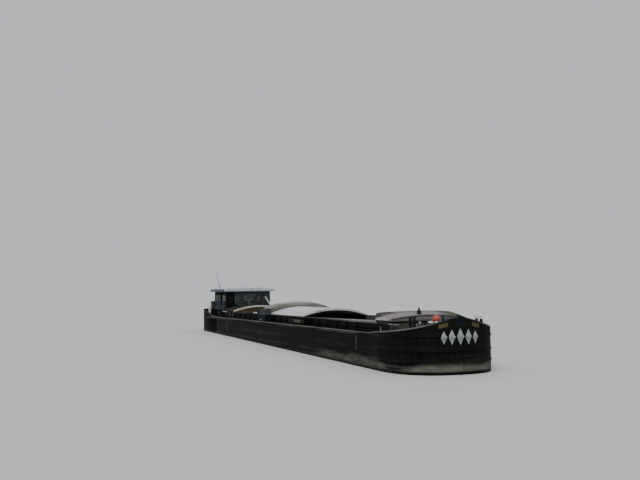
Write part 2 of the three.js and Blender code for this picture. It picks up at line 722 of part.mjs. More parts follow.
function roofItems() {
  const { aft, fore, starboard, port, top, flange } = LIGHT_BOX;
  const light = join(
    box(aft, fore, starboard, port, ROOF_EDGE, top),
    box(aft - flange, fore + flange, starboard - flange, port + flange, ROOF_EDGE, ROOF_CROWN + 25),
  );
  add('roof_light_box', cut(light, archBlock()), FINISH.white);
  const vent = box(VENT_BOX.aft, VENT_BOX.fore, VENT_BOX.starboard, VENT_BOX.port, ROOF_EDGE - 20, VENT_BOX.top);
  add('roof_vent', cut(vent, archBlock()), FINISH.white);
  const up = at(-0.25, -0.15, 0.95).normalize();
  const start = at(AERIAL.x, AERIAL.y, AERIAL.z);
  const tip = start.clone().addScaledVector(up, AERIAL.length);
  const across = at(0, AERIAL.ear - SEAT, 0);
  add('aerial_mast', join(
    rod(start, tip, AERIAL.radius, 12, AERIAL.tip),
    rod(start.clone().sub(across), start.clone().add(across), AERIAL.pin, 16),
  ), FINISH.white);
}

// The roof's upper surface as a cutting block, so that what stands on it ends a seat's width above it
function archBlock() {
  const outer = arch(ROOF_Y, ROOF_EDGE + SEAT, ROOF_CROWN - ROOF_EDGE);
  return alongX([...outer, [-ROOF_Y, SKY], [ROOF_Y, SKY]], ROOF_AFT - 50, ROOF_FRONT + 50);
}

// Engine, shaft, propeller and rudder
const PROPELLER = { x: -17250, blades: 4, hub: 90, hubFore: 110, blade: 210, out: 290, thick: 26, pitch: 36 };
const SHAFT = { aft: -17120, fore: -15600 - RUNNING_GAP };
const ENGINE = { aft: -15500, fore: -13700, halfWidth: 420, top: 1750 };
const ENGINE_BED = { aft: -15600, fore: -13600, halfWidth: 560, height: 340 };
const RUDDER_X = -18050;
const STOCK_RADIUS = 50;
const RUDDER = { fore: -17780, aft: -18950, low: 150, high: 1130, thick: 70, stockTop: 1450, heel: 120 };

function machinery() {
  const floor = ENGINE_ROOM.floor + SEAT;
  const bed = ENGINE_BED;
  add('engine', join(
    box(ENGINE.aft, ENGINE.fore, -ENGINE.halfWidth, ENGINE.halfWidth, floor + bed.height - 10, ENGINE.top),
    box(bed.aft, bed.fore, -bed.halfWidth, bed.halfWidth, floor, floor + bed.height),
  ), FINISH.engine);
  const shaft = rod(at(SHAFT.aft, 0, SHAFT_Z), at(SHAFT.fore, 0, SHAFT_Z), SHAFT_RADIUS, SHAFT_SIDES);
  add('propeller_shaft', shaft, FINISH.steel);
  const hub = rod(
    at(PROPELLER.x - 170, 0, SHAFT_Z), at(SHAFT.aft - SEAT, 0, SHAFT_Z), PROPELLER.hub, 20, PROPELLER.hubFore,
  );
  const blades = Array.from({ length: PROPELLER.blades }, (_, i) => propellerBlade(i));
  add('propeller', join(hub, ...blades), FINISH.bronze);
  const { fore, aft, low, high, thick, stockTop, heel } = RUDDER;
  const outline = [[fore, low], [fore, high], [aft, high], [aft, low + heel], [aft + heel, low]];
  const blade = alongY(outline, -thick / 2, thick / 2);
  const stock = rod(at(RUDDER_X, 0, low), at(RUDDER_X, 0, stockTop), STOCK_RADIUS, SHAFT_SIDES);
  add('rudder', join(blade, stock), FINISH.hullBlack);
}

// An oval plate set on its edge at the hub, turned to its pitch and then round to its place
function propellerBlade(index) {
  const blade = new THREE.CylinderGeometry(PROPELLER.blade, PROPELLER.blade, PROPELLER.thick, 20);
  blade.scale(0.8, 1, 1).rotateZ(Math.PI / 2).translate(0, 0, PROPELLER.out);
  blade.rotateZ(THREE.MathUtils.degToRad(PROPELLER.pitch));
  blade.rotateX((Math.PI * 2 * index) / PROPELLER.blades);
  return blade.translate(PROPELLER.x - 60, 0, SHAFT_Z);
}

// The foredeck as a cutting block, so that what stands on it ends a seat's width above its slope
function onForedeck(shape) {
  const plan = foredeckPlan();
  return cut(shape, stackRings([
    plan.map(([x, y]) => at(x, y, 1000)),
    plan.map(([x, y]) => at(x, y, bowDeck(x) + SEAT)),
  ]));
}

// Deck gear
const BITTS = [
  // name, place along and across, height of the posts
  { name: 'bow_port', x: 18000, y: 1650, height: 670 },
  { name: 'bow_starboard', x: 18000, y: -1650, height: 670 },
  { name: 'stern_port', x: -18150, y: 1450, height: 360 },
  { name: 'stern_starboard', x: -18150, y: -1450, height: 360 },
];
const BITT = { apart: 190, radius: 65, head: 88, headDepth: 40, base: 40, reach: 330, halfWidth: 110 };

function bitts({ name, x, y, height }) {
  const low = x > 0 ? bowDeck(x) : DECK + SEAT;
  const foot = x > 0 ? low - 100 : low;
  const base = box(x - BITT.reach, x + BITT.reach, y - BITT.halfWidth, y + BITT.halfWidth, foot, low + BITT.base);
  const posts = [-BITT.apart, BITT.apart].map((dx) => join(
    rod(at(x + dx, y, low + BITT.base / 2), at(x + dx, y, low + height - 10), BITT.radius, 16),
    rod(at(x + dx, y, low + height - BITT.headDepth), at(x + dx, y, low + height), BITT.head, 16),
  ));
  const pair = join(base, ...posts);
  add(`bitts_${name}`, x > 0 ? onForedeck(pair) : pair, FINISH.hullBlack);
}

const FORE_HATCH = { aft: 16650, fore: 17250, starboard: 750, port: 1450, wall: 50, height: 220, lid: 40, lap: 20 };

function foreHatch() {
  const { aft, fore, starboard, port, wall, height, lid, lap } = FORE_HATCH;
  const top = bowDeck(aft) + height;
  const frame = cut(
    box(aft, fore, starboard, port, bowDeck(aft) - 40, top),
    box(aft + wall, fore - wall, starboard + wall, port - wall, bowDeck(fore) + 30, top + 10),
  );
  add('fore_hatch_frame', onForedeck(frame), FINISH.hullBlack);
  const plate = box(aft - lap, fore + lap, starboard - lap, port + lap, top + SEAT, top + SEAT + lid);
  add('fore_hatch_lid', plate, FINISH.deckGrey);
}

const LOCKER = { aft: 16750, fore: 17500, halfWidth: 430, top: 3010 };

function foreLocker() {
  const { aft, fore, halfWidth, top } = LOCKER;
  add('fore_locker', onForedeck(box(aft, fore, -halfWidth, halfWidth, DECK, top)), FINISH.hullBlack);
}

const DRUM_AXLE = 36;
const WINDLASS = { x: 18000, halfWidth: 420, height: 420, reach: 260, cheek: 40, drum: 110, end: 80, over: 200 };

function windlass() {
  const { x, halfWidth, height, reach, cheek, drum, end, over } = WINDLASS;
  const low = bowDeck(x) + 20;
  const axle = low + height - 90;
  const side = [[x - 240, low], [x + 240, low], [x + 90, low + height], [x - 90, low + height]];
  const axleTo = (from, to, radius, sides) => rod(at(x, from, axle), at(x, to, axle), radius, sides);
  const bore = axleTo(-halfWidth - 50, halfWidth + 50, boreFor(DRUM_AXLE), SHAFT_SIDES);
  const bed = cut(join(
    box(x - reach, x + reach, -halfWidth, halfWidth, low - 100, low + 40),
    alongY(side, -halfWidth, -halfWidth + cheek),
    alongY(side, halfWidth - cheek, halfWidth),
  ), bore);
  add('windlass_bed', onForedeck(bed), FINISH.hullBlack);
  add('windlass_drum', join(
    axleTo(-halfWidth - over, halfWidth + over, DRUM_AXLE, SHAFT_SIDES),
    axleTo(-halfWidth + 60, halfWidth - 60, drum, 20),
    axleTo(-halfWidth - over + 20, -halfWidth - 30, end, 20),
    axleTo(halfWidth + 30, halfWidth + over - 20, end, 20),
  ), FINISH.steel);
}

// A short mast that folds down sideways between two cheeks welded to the fore house's roof
const LIGHT_POST = {
  x: 16200, y: -380, length: 100, radius: 34, pin: 38, pinHeight: 90, lamp: 45, cheek: 30, apart: 48, halfWidth: 70,
};

function lightPost() {
  const { x, y, length, radius, pinHeight, lamp, cheek, apart, halfWidth } = LIGHT_POST;
  const pin = foreRoofTop(x) + pinHeight;
  const cheeks = [-1, 1].map((side) => {
    const inner = x + side * apart;
    const outer = inner + side * cheek;
    return box(
      Math.min(inner, outer), Math.max(inner, outer), y - halfWidth, y + halfWidth, pin - pinHeight - 60, pin + 70,
    );
  });
  add('fore_roof', join(foreRoof(), ...cheeks), FINISH.canvas);
  const across = at(apart - SEAT, 0, 0);
  const middle = at(x, y, pin);
  const post = join(
    rod(at(x, y, pin - 60), at(x, y, pin + length), radius, 16),
    rod(middle.clone().sub(across), middle.clone().add(across), LIGHT_POST.pin, 16),
    rod(at(x, y, pin + length - 10), at(x, y, pin + length + 2 * lamp), lamp, 16),
  );
  add('light_post', post, FINISH.hullBlack);
}

// A lifebuoy lies on the fore locker with a ball fender inside its ring
const BUOY = { x: 17125, radius: 320, tube: 68 };
const BALL = { x: 17150, y: -30, radius: 205 };
const PRESSED = 3;

function bowFittings() {
  const top = LOCKER.top + SEAT;
  const reach = 2 * BUOY.radius;
  const lid = box(BUOY.x - reach, BUOY.x + reach, -reach, reach, top - reach, top);
  const ring = new THREE.TorusGeometry(BUOY.radius, BUOY.tube, 10, 32);
  ring.translate(BUOY.x, 0, top + BUOY.tube - PRESSED);
  add('lifebuoy', cut(ring, lid), FINISH.white);
  const ball = new THREE.SphereGeometry(BALL.radius, 24, 16);
  ball.rotateX(Math.PI / 2).translate(BALL.x, BALL.y, top + BALL.radius - PRESSED);
  add('fender_ball', cut(ball, lid), FINISH.rubberOrange);
}

const STERN_LOCKER = { aft: -17750, fore: -16750, starboard: -1750, port: -350, top: 3750 };
const STERN_VENT = { x: -16900, y: -2050, neck: 110, head: 165, headLow: 3150, top: 3400 };
const DECK_CHEST = { aft: -14350, fore: -13050, out: -2140, in: -HOUSE_Y - 90, height: 420 };
const SIDE_BOX = { aft: -2400, fore: -750, out: -2450, in: -COAMING_Y - COAMING_LIP.out - SEAT, height: 780 };

function sternFittings() {
  const deck = DECK + SEAT;
  const { aft, fore, starboard, port, top } = STERN_LOCKER;
  add('stern_locker', box(aft, fore, starboard, port, deck, top), FINISH.housePale);
  const { x, y, neck, head, headLow } = STERN_VENT;
  add('stern_vent', join(
    rod(at(x, y, deck), at(x, y, headLow + 20), neck, 20),
    rod(at(x, y, headLow), at(x, y, STERN_VENT.top), head, 20),
  ), FINISH.white);
  const onDeck = (item) => box(item.aft, item.fore, item.out, item.in, deck, DECK + item.height);
  add('deck_chest', onDeck(DECK_CHEST), FINISH.housePale);
  add('side_box', onDeck(SIDE_BOX), FINISH.houseDark);
}

function hull() {
  add('hull_bow', hullBow(), FINISH.hullBlack);
  add('hull_stern', hullStern(), FINISH.hullBlack);
  add('hull_bottom', hullBottom(), FINISH.hullBlack);
  for (const [name, side] of [['starboard', -1], ['port', 1]]) {
    add(`hull_side_${name}`, hullSide(side), FINISH.hullBlack);
    add(`coaming_${name}`, coaming(side), FINISH.coaming);
    add(`cabin_wall_${name}`, cabinWall(side), FINISH.housePale);
  }
  add('hold_bulkhead', holdBulkhead(), FINISH.coaming);
  add('coaming_fore', foreCoaming(), FINISH.coaming);
  add('cabin_front', cabinFront(), FINISH.housePale);
  add('cabin_roof', cabinRoof(), FINISH.coverWhite);
}

hull();
covers();
wheelhouse();
helm();
roofItems();
machinery();
BITTS.forEach(bitts);
foreHatch();
foreLocker();
windlass();
lightPost();
bowFittings();
sternFittings();

export default parts;
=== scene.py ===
import math

import bmesh
import bpy
from mathutils import Matrix, Vector


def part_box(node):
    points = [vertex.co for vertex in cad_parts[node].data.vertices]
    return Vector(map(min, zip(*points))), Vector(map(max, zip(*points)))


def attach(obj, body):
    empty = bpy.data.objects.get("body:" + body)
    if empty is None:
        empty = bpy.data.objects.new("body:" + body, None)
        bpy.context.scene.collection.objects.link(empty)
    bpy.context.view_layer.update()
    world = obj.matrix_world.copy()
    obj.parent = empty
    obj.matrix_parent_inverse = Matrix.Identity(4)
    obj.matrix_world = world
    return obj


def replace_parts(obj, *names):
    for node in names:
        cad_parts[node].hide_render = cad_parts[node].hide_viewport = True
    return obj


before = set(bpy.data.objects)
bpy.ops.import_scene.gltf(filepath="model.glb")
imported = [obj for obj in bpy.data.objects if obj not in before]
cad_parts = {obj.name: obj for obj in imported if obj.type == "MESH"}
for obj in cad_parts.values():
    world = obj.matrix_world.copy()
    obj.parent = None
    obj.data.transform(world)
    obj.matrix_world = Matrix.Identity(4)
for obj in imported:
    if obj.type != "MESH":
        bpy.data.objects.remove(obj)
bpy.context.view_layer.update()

# Camera and water level
# The camera stands off the starboard bow, a little over four metres above the water, and looks aft along
# the boat. The boat floats a hand deeper at the stern, so the water's plane is tilted against the hull.
PHOTO_WIDTH = 640
LENS_PIXELS = 860
SENSOR = 36
CLIP_END = 2000
DRAUGHT = 1.17
TRIM = 0.013
CAMERA_YAW = 0.366
CAMERA_PITCH = 0.0452
CAMERA_ROLL = -0.0076
CAMERA_PLACE = Vector((51.225, -18.615, 4.10))

from_water = Matrix.Rotation(TRIM, 3, "Y")  # turns directions over level water into the hull's own frame
forward = Vector((
    -math.cos(CAMERA_YAW) * math.cos(CAMERA_PITCH),
    math.sin(CAMERA_YAW) * math.cos(CAMERA_PITCH),
    math.sin(CAMERA_PITCH),
))
right = Vector((math.sin(CAMERA_YAW), math.cos(CAMERA_YAW), 0))
up = right.cross(forward)
roll_cos, roll_sin = math.cos(CAMERA_ROLL), math.sin(CAMERA_ROLL)
right, up = right * roll_cos + up * roll_sin, up * roll_cos - right * roll_sin

camera = bpy.data.objects.new("camera", bpy.data.cameras.new("camera"))
bpy.context.scene.collection.objects.link(camera)
camera.data.sensor_width = SENSOR
camera.data.lens = LENS_PIXELS / PHOTO_WIDTH * SENSOR
camera.data.clip_end = CLIP_END
turn = Matrix([from_water @ axis for axis in (right, up, -forward)]).transposed()
place = from_water @ CAMERA_PLACE + Vector((0, 0, DRAUGHT))
camera.matrix_world = Matrix.Translation(place) @ turn.to_4x4()
bpy.context.scene.camera = camera

# Light and floor
# A pale overcast sky with one broad soft lamp high on the starboard bow. The pale floor lies at the waterline
# and has a hole where the hull is open inside, so that it never shows as a floor in the hold.
SKY_COLOUR = (0.80, 0.83, 0.88)
SKY_STRENGTH = 0.75
SUN_STRENGTH = 1.7
SUN_SPREAD = 50
SUN_TURN = (38, 12, 40)
FLOOR_REACH = 300
FLOOR_HOLE = (-12.91, 15.17, -2.43, 2.43)
BOX_FACES = [(0, 2, 3, 1), (4, 5, 7, 6), (0, 1, 5, 4), (2, 6, 7, 3), (0, 4, 6, 2), (1, 3, 7, 5)]
MERGE = 0.00002

world = bpy.data.worlds.new("sky")
bpy.context.scene.world = world
world.use_nodes = True
world.node_tree.nodes["Background"].inputs["Color"].default_value = (*SKY_COLOUR, 1)
world.node_tree.nodes["Background"].inputs["Strength"].default_value = SKY_STRENGTH

sun = bpy.data.objects.new("sun", bpy.data.lights.new("sun", "SUN"))
sun.data.energy = SUN_STRENGTH
sun.data.angle = math.radians(SUN_SPREAD)
sun.rotation_euler = [math.radians(angle) for angle in SUN_TURN]
bpy.context.scene.collection.objects.link(sun)


class Mask:
    """One output of a finish's pattern. Masks add and multiply like numbers, and | takes the stronger."""

    def __init__(self, finish, socket):
        self.finish, self.socket = finish, socket

    def __add__(self, other):
        return self.finish.reckon("ADD", self, other)

    def __sub__(self, other):
        return self.finish.reckon("SUBTRACT", self, other)

    def __rsub__(self, other):
        return self.finish.reckon("SUBTRACT", other, self)

    def __mul__(self, other):
        return self.finish.reckon("MULTIPLY", self, other)

    def __truediv__(self, other):
        return self.finish.reckon("DIVIDE", self, other)

    def __or__(self, other):
        return self.finish.reckon("MAXIMUM", self, other)

    def __abs__(self):
        return self.finish.reckon("ABSOLUTE", self)

    __radd__ = __add__

    def between(self, low, high):
        """Nought below low and one above high, or the other way round where low is the greater."""
        values = {"Value": self, "From Min": low, "From Max": high}
        ramp = self.finish.node("ShaderNodeMapRange", values, interpolation_type="SMOOTHSTEP")
        return Mask(self.finish, ramp.outputs["Result"])

    def band(self, low, high, soft=0.01):
        """One from low to high and nought outside."""
        return self.between(low - soft, low + soft) * self.between(high + soft, high - soft)


class Finish:
    """A surface finish: coats of colour laid one over the other, each where its mask says. more holds values
    for other sockets of the shader."""

    def __init__(self, name, colour, roughness=0.6, metallic=0.0, gloss=0.5, more=None):
        self.material = bpy.data.materials.new(name)
        self.material.use_nodes = True
        self.tree = self.material.node_tree
        self.shader = self.tree.nodes["Principled BSDF"].inputs
        self.colour, self.roughness = (*colour, 1), roughness
        values = {"Base Color": self.colour, "Roughness": roughness, "Metallic": metallic}
        for socket, value in {**values, "Specular IOR Level": gloss, **(more or {})}.items():
            self.shader[socket].default_value = value
        self.place = self.tree.nodes.new("ShaderNodeTexCoord").outputs["Object"]
        self.split = self.node("ShaderNodeSeparateXYZ", {0: self.place}).outputs

    def node(self, kind, values, **settings):
        """A node of the material, its settings made and its inputs fed by name or number."""
        node = self.tree.nodes.new(kind)
        for key, value in settings.items():
            setattr(node, key, value)
        for socket, value in values.items():
            self.feed(node.inputs[socket], value)
        return node

    def feed(self, socket, value):
        if isinstance(value, Mask):
            value = value.socket
        if isinstance(value, bpy.types.NodeSocket):
            self.tree.links.new(value, socket)
        else:
            socket.default_value = value

    def reckon(self, operation, *values):
        step = self.node("ShaderNodeMath", dict(enumerate(values)), operation=operation)
        return Mask(self, step.outputs[0])

    def axis(self, letter):
        return Mask(self, self.split[letter])

    def facing_up(self):
        normal = self.node("ShaderNodeNewGeometry", {}).outputs["True Normal"]
        return Mask(self, self.node("ShaderNodeSeparateXYZ", {0: normal}).outputs["Z"]).between(0.6, 0.85)

    def noise(self, size, low=0.4, high=0.6, stretch=(1, 1, 1), detail=4, shift=0.0):
        """Patches about size metres across, longer by stretch along each axis."""
        scale = [1 / (size * share) for share in stretch]
        location = (shift, shift * 0.7, shift * 1.3)
        moved = self.node("ShaderNodeMapping", {"Vector": self.place, "Location": location, "Scale": scale})
        cloud = self.node("ShaderNodeTexNoise", {"Scale": 1.0, "Detail": detail, "Vector": moved.outputs[0]})
        return Mask(self, cloud.outputs["Fac"]).between(low, high)

    def lines(self, letter, step, width, start=0.0):
        """Narrow lines across an axis, one at every step."""
        return abs(self.reckon("PINGPONG", self.axis(letter) - start, step / 2)).between(width, width * 0.4)

    def coat(self, mask, colour, roughness):
        """Lays a colour and its roughness over the coats before it, where the mask is one."""
        mix = self.node("ShaderNodeMix", {0: mask, 6: self.colour, 7: (*colour, 1)}, data_type="RGBA")
        self.colour = mix.outputs[2]
        mix = self.node("ShaderNodeMix", {0: mask, 2: self.roughness, 3: roughness}, data_type="FLOAT")
        self.roughness = mix.outputs[0]
        self.feed(self.shader["Base Color"], self.colour)
        self.feed(self.shader["Roughness"], self.roughness)
        return self

    def patches(self, colour, roughness, share, *pattern, **more):
        """A coat in patches. What follows its share says how they lie, as for noise."""
        return self.coat(self.noise(*pattern, **more) * share, colour, roughness)

    def relief(self, mask, height):
        """Raises the surface by height metres where the mask is one."""
        bump = self.node("ShaderNodeBump", {"Distance": height, "Height": mask})
        if self.shader["Normal"].is_linked:
            self.feed(bump.inputs["Normal"], self.shader["Normal"].links[0].from_socket)
        self.feed(self.shader["Normal"], bump.outputs[0])
        return self

    def grain(self, height, *pattern, **more):
        """Relief in patches. What follows its height says how they lie, as for noise."""
        return self.relief(self.noise(*pattern, **more), height)


def circle(count):
    """Angles at even steps once round."""
    return [2 * math.pi * i / count for i in range(count)]


def ring_across(centre, way, radius, sides):
    """Points round a centre, across a direction."""
    turn = way.to_track_quat("Z", "Y")
    return [centre + turn @ Vector((radius * math.cos(a), radius * math.sin(a), 0)) for a in circle(sides)]


class Shape:
    """Points and faces gathered from simple forms, in metres in the hull's frame."""

    def __init__(self):
        self.mesh = bmesh.new()

    def faces(self, points, faces):
        made = [self.mesh.verts.new(point) for point in points]
        for face in faces:
            self.mesh.faces.new([made[i] for i in face])
        return self

    def box(self, *sides):
        """A block between two places along X, two along Y and two along Z, in either order."""
        xs, ys, zs = (sorted(sides[i:i + 2]) for i in (0, 2, 4))
        return self.faces([(x, y, z) for z in zs for y in ys for x in xs], BOX_FACES)

    def loft(self, rings, closed=True, capped=True):
        """Rings of points joined one to the next. closed joins a ring's ends, capped fills the end rings."""
        count = len(rings[0])
        faces = []
        for r in range(len(rings) - 1):
            for i in range(count if closed else count - 1):
                a, b = r * count + i, r * count + (i + 1) % count
                faces.append((a, b, b + count, a + count))
        if capped:
            faces.append(tuple(range(count))[::-1])
            faces.append(tuple(range((len(rings) - 1) * count, len(rings) * count)))
        return self.faces([point for ring in rings for point in ring], faces)

    def bar(self, start, end, radius, sides=10, end_radius=None):
        """A round bar between two points."""
        start, end = Vector(start), Vector(end)
        ends = ((start, radius), (end, end_radius or radius))
        return self.loft([ring_across(point, end - start, r, sides) for point, r in ends])

    def pipe(self, points, radius, sides=8, closed=False):
        """A round bar bent along points."""
        points = [Vector(point) for point in points]
        count = len(points)
        rings = []
        for i, point in enumerate(points):
            before = points[i - 1] if i or closed else point
            after = points[(i + 1) % count] if i + 1 < count or closed else point
            rings.append(ring_across(point, after - before, radius, sides))
        if closed:
            rings.append(rings[0])
        return self.loft(rings, capped=not closed)

    def slab(self, outline, thickness, across):
        """A flat outline of points, thickened both ways along a direction."""
        half = Vector(across).normalized() * thickness / 2
        return self.loft([[Vector(p) - half for p in outline], [Vector(p) + half for p in outline]])

    def sphere(self, centre, radius, sides=16, squash=1.0):
        rings = []
        for r in range(sides // 2 + 1):
            tilt = math.pi * r / (sides // 2)
            rings.append([Vector(centre) + radius * Vector((
                math.sin(tilt) * math.cos(a), math.sin(tilt) * math.sin(a), -squash * math.cos(tilt),
            )) for a in circle(sides)])
        return self.loft(rings, capped=False)

    def to_mesh(self, name):
        """The mesh, with its doubles merged and its faces turned outwards."""
        bmesh.ops.remove_doubles(self.mesh, verts=self.mesh.verts, dist=MERGE)
        bmesh.ops.recalc_face_normals(self.mesh, faces=self.mesh.faces)
        mesh = bpy.data.meshes.new(name)
        self.mesh.to_mesh(mesh)
        self.mesh.free()
        return mesh

    def piece(self, name, finish, slot, round_edges=0.0, smooth=0, body="hull"):
        return finish_piece(self.to_mesh(name), name, finish, round_edges, smooth, body)


def finish_piece(mesh, name, finish, round_edges=0.0, smooth=0, body="hull"):
    """The finished object: painted, its edges eased, riding on its body."""
    mesh.materials.clear()
    mesh.materials.append(finish.material)
    item = bpy.data.objects.new(name, mesh)
    bpy.context.scene.collection.objects.link(item)
    if round_edges:
        bevel = item.modifiers.new("edges", "BEVEL")
        bevel.width = round_edges
        bevel.segments = 2
        bevel.limit_method = "ANGLE"
        bevel.angle_limit = math.radians(40)
    if smooth:
        mesh.shade_smooth()
        mesh.set_sharp_from_angle(angle=math.radians(smooth))
    if body is not None:
        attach(item, body)
    return item


def smooth_copy(node, name, finish, angle=30, body="hull"):
    """A copy of a steel piece with its rounded faces shaded smooth. It stands for the piece."""
    shape = bmesh.new()
    shape.from_mesh(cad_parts[node].data)
    bmesh.ops.remove_doubles(shape, verts=shape.verts, dist=0.00005)
    mesh = bpy.data.meshes.new(name)
    shape.to_mesh(mesh)
    shape.free()
    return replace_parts(finish_piece(mesh, name, finish, smooth=angle, body=body), node)


def paint(finish, *nodes):
    """Gives steel pieces that keep their own shape their finish."""
    for node in nodes:
        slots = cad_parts[node].data.materials
        slots.clear()
        slots.append(finish.material)


floor_rings = [
    [(x, y, DRAUGHT - TRIM * x) for x, y in ((x0, y0), (x1, y0), (x1, y1), (x0, y1))]
    for x0, x1, y0, y1 in ((-FLOOR_REACH, FLOOR_REACH, -FLOOR_REACH, FLOOR_REACH), FLOOR_HOLE)
]
floor_finish = Finish("studio_floor", (0.62, 0.62, 0.60), 0.7)
floor = Shape().loft(floor_rings, capped=False).piece("floor", floor_finish, None, body=None)

# Hull
# Welded steel plate painted dull black, on a flat bottom with a bluff bow. River silt has dried pale along
# the waterline, highest on the bow and amidships; the strakes are pale with rubbed paint and, on the top one,
# painted highlight.
BLACK = (0.0034, 0.0038, 0.0036)
SILT = (0.130, 0.128, 0.108)
RUST = (0.105, 0.045, 0.018)
DULL_RUST = (0.030, 0.021, 0.014)
DECK_GREY = (0.030, 0.029, 0.027)
BOTTOM_TAR = (0.014, 0.013, 0.011)
DULL = 0.03
PLATE_LENGTH = 2.42
STRAKES = [(2.53, 0.38), (1.94, 0.14), (1.47, 0.18)]  # height, how pale it is painted: rubbed paint, and on the top strake a painted highlight as well
STRAKE_HALF = 0.055
DECK_HEIGHT = 2.55
SHELL_Y = 2.49
LOZENGES = [(0.0, 0.175, 0.36, 2.535), (0.40, 0.165, 0.33, 2.52), (0.76, 0.145, 0.28, 2.50)]
# distance from the stem, half width, half height and the height of the middle of each

steel = Finish("black_hull_paint", BLACK, 0.55, gloss=DULL)
height, along = steel.axis("Z"), steel.axis("X")
from_stem = abs(steel.axis("Y"))
over_water = height + along * TRIM - DRAUGHT
fine = steel.noise(0.16, 0.42, 0.62, detail=5)
runs = steel.noise(0.13, 0.45, 0.72, (1, 1, 14), 3, 3.0)
scuffs = steel.noise(0.35, 0.50, 0.70, (7, 7, 0.22), 5, 13.0)
steel.patches((0.0075, 0.0083, 0.0075), 0.6, 0.5, 2.2, 0.35, 0.7, (2.5, 2.5, 1), 3)
steel.coat(runs * 0.3, (0.013, 0.0135, 0.0115), 0.65)
steel.coat(scuffs * 0.35, (0.024, 0.026, 0.023), 0.6)
seams = steel.lines("X", PLATE_LENGTH, 0.012, 0.4) | steel.lines("Z", 0.93, 0.01, 0.52)
steel.coat(seams * fine * 0.45, DULL_RUST, 0.8)
upper_bow = height.between(2.86, 3.0) * along.between(17.0, 18.6)
steel.coat(upper_bow * 0.7, (0.009, 0.0085, 0.0055), 0.6)
stem_head = from_stem.band(-0.2, 0.17, 0.03) * (upper_bow * height.between(3.0, 3.04))
steel.coat(stem_head * 0.5, (0.008, 0.012, 0.026), 0.6)
# each strake's face is painted pale in patches: rubbed paint, and on the top strake a painted highlight
# standing for light on its upper edge
for middle, paleness in STRAKES:
    edge = height.band(middle - STRAKE_HALF - 0.01, middle + STRAKE_HALF + 0.01, 0.012)
    pale_face = edge * steel.noise(0.6, 0.36, 0.62, (4, 4, 0.6), 4, middle) * along.between(17.0, 15.4)
    steel.coat(pale_face * paleness, (0.115, 0.115, 0.105), 0.55)
    under = height.band(middle - 0.32, middle - STRAKE_HALF, 0.05)
    steel.coat(under * (runs * fine) * 0.35, DULL_RUST, 0.8)

# silt: how high it reaches over the water, by the place along the hull
amidships = along.between(6.0, 12.0) * along.between(17.8, 15.8)
round_bow = along.between(17.2, 19.0)
reach = 0.16 + (amidships * 0.44 + round_bow * 0.4)
ragged = steel.noise(0.9, 0.25, 0.75, (3, 3, 1), 4, 7.0)
reach = reach * (1.12 - ragged * 0.45)
silt = (reach - over_water).between(-0.08, 0.24) * over_water.between(-0.02, 0.26)
washed = steel.noise(0.30, 0.30, 0.66, (3, 3, 0.5), 6, 11.0)
cover = washed * 0.5 + 0.2 + round_bow * 0.38
steel.coat(silt * cover, SILT, 0.85)
steel.coat(silt * fine * 0.25, (0.125, 0.12, 0.1), 0.9)
wave_line = over_water.band(0.27, 0.36, 0.02) * along.between(15.4, 16.4)
steel.coat(wave_line * steel.noise(0.5, 0.25, 0.6, (4, 4, 0.5), 3, 19.0) * 0.35, SILT, 0.85)
wet_top = over_water - round_bow * 0.07
wet = over_water.between(-0.03, -0.01) * wet_top.between(0.1, 0.03)
steel.coat(wet * 0.9, (0.004, 0.0045, 0.0036), 0.4)

# under the water: tar, weed and rust
below = over_water.between(0.0, -0.08)
steel.coat(below, BOTTOM_TAR, 0.8)
weed = steel.noise(0.5, 0.45, 0.65, (2, 2, 1), 5, 17.0)
steel.coat(below * weed * 0.6, (0.04, 0.042, 0.02), 0.95)
steel.coat(below * steel.noise(0.3, 0.55, 0.68, detail=5, shift=23.0) * 0.5, RUST, 0.95)

# decks: grey, scuffed, with rust where the paint has gone
inboard = from_stem.between(2.495, 2.488) * (height.between(2.592, 2.6) | along.between(16.9, 16.7))
flat = steel.facing_up() * height.between(2.2, 2.3) * inboard
steel.coat(flat, DECK_GREY, 0.75)
steel.coat(flat * (steel.noise(0.7, 0.4, 0.68, detail=5, shift=5.0) * 0.6), (0.07, 0.065, 0.056), 0.9)
steel.coat(flat * (steel.noise(0.35, 0.55, 0.66, shift=31.0) * 0.5), (0.058, 0.03, 0.017), 0.85)

# a row of white lozenges painted round the stem
marks = 0
for away, half_width, half_height, middle in LOZENGES:
    spread = abs(from_stem - away) / half_width + abs(height - middle) / half_height
    marks = spread.between(1.03, 0.97) | marks
marks = marks * along.between(18.2, 18.3)
chips = steel.noise(0.05, 0.58, 0.68, (1, 1, 4), 4, 29.0)
steel.coat(marks * (0.93 - chips * 0.6), (0.3, 0.31, 0.31), 0.6)

steel.grain(0.01, 1.1, 0.2, 0.8, (1, 1, 1), 2, 41.0)
steel.relief(seams, 0.003)
steel.relief(fine * (below | flat), 0.002)
smooth_copy("hull_bow", "bow_shell", steel, 32)
smooth_copy("hull_stern", "stern_shell", steel, 32)
paint(steel, "hull_bottom", "hull_side_starboard", "hull_side_port")

# Name boards
# A bare ochre board stands on each side of the stem, under the rail. Both are thin plates that follow the
# curve of the bow.
BOW_START = 16.38
BOW_LENGTH = 2.835
BOW_POWER = 2.47
NAME_BOARD_HEIGHT = 3.01
NAME_BOARD_AWAY = 0.78
NAME_BOARD_HALF = (0.20, 0.09)
NAME_BOARD_SLOPE = 0.25


def bow_face(y):
    """The place of the bow plating at a distance across the boat, seen from above."""
    share = min(1.0, abs(y) / SHELL_Y)
    return BOW_START + BOW_LENGTH * (1 - share ** BOW_POWER) ** (1 / BOW_POWER)


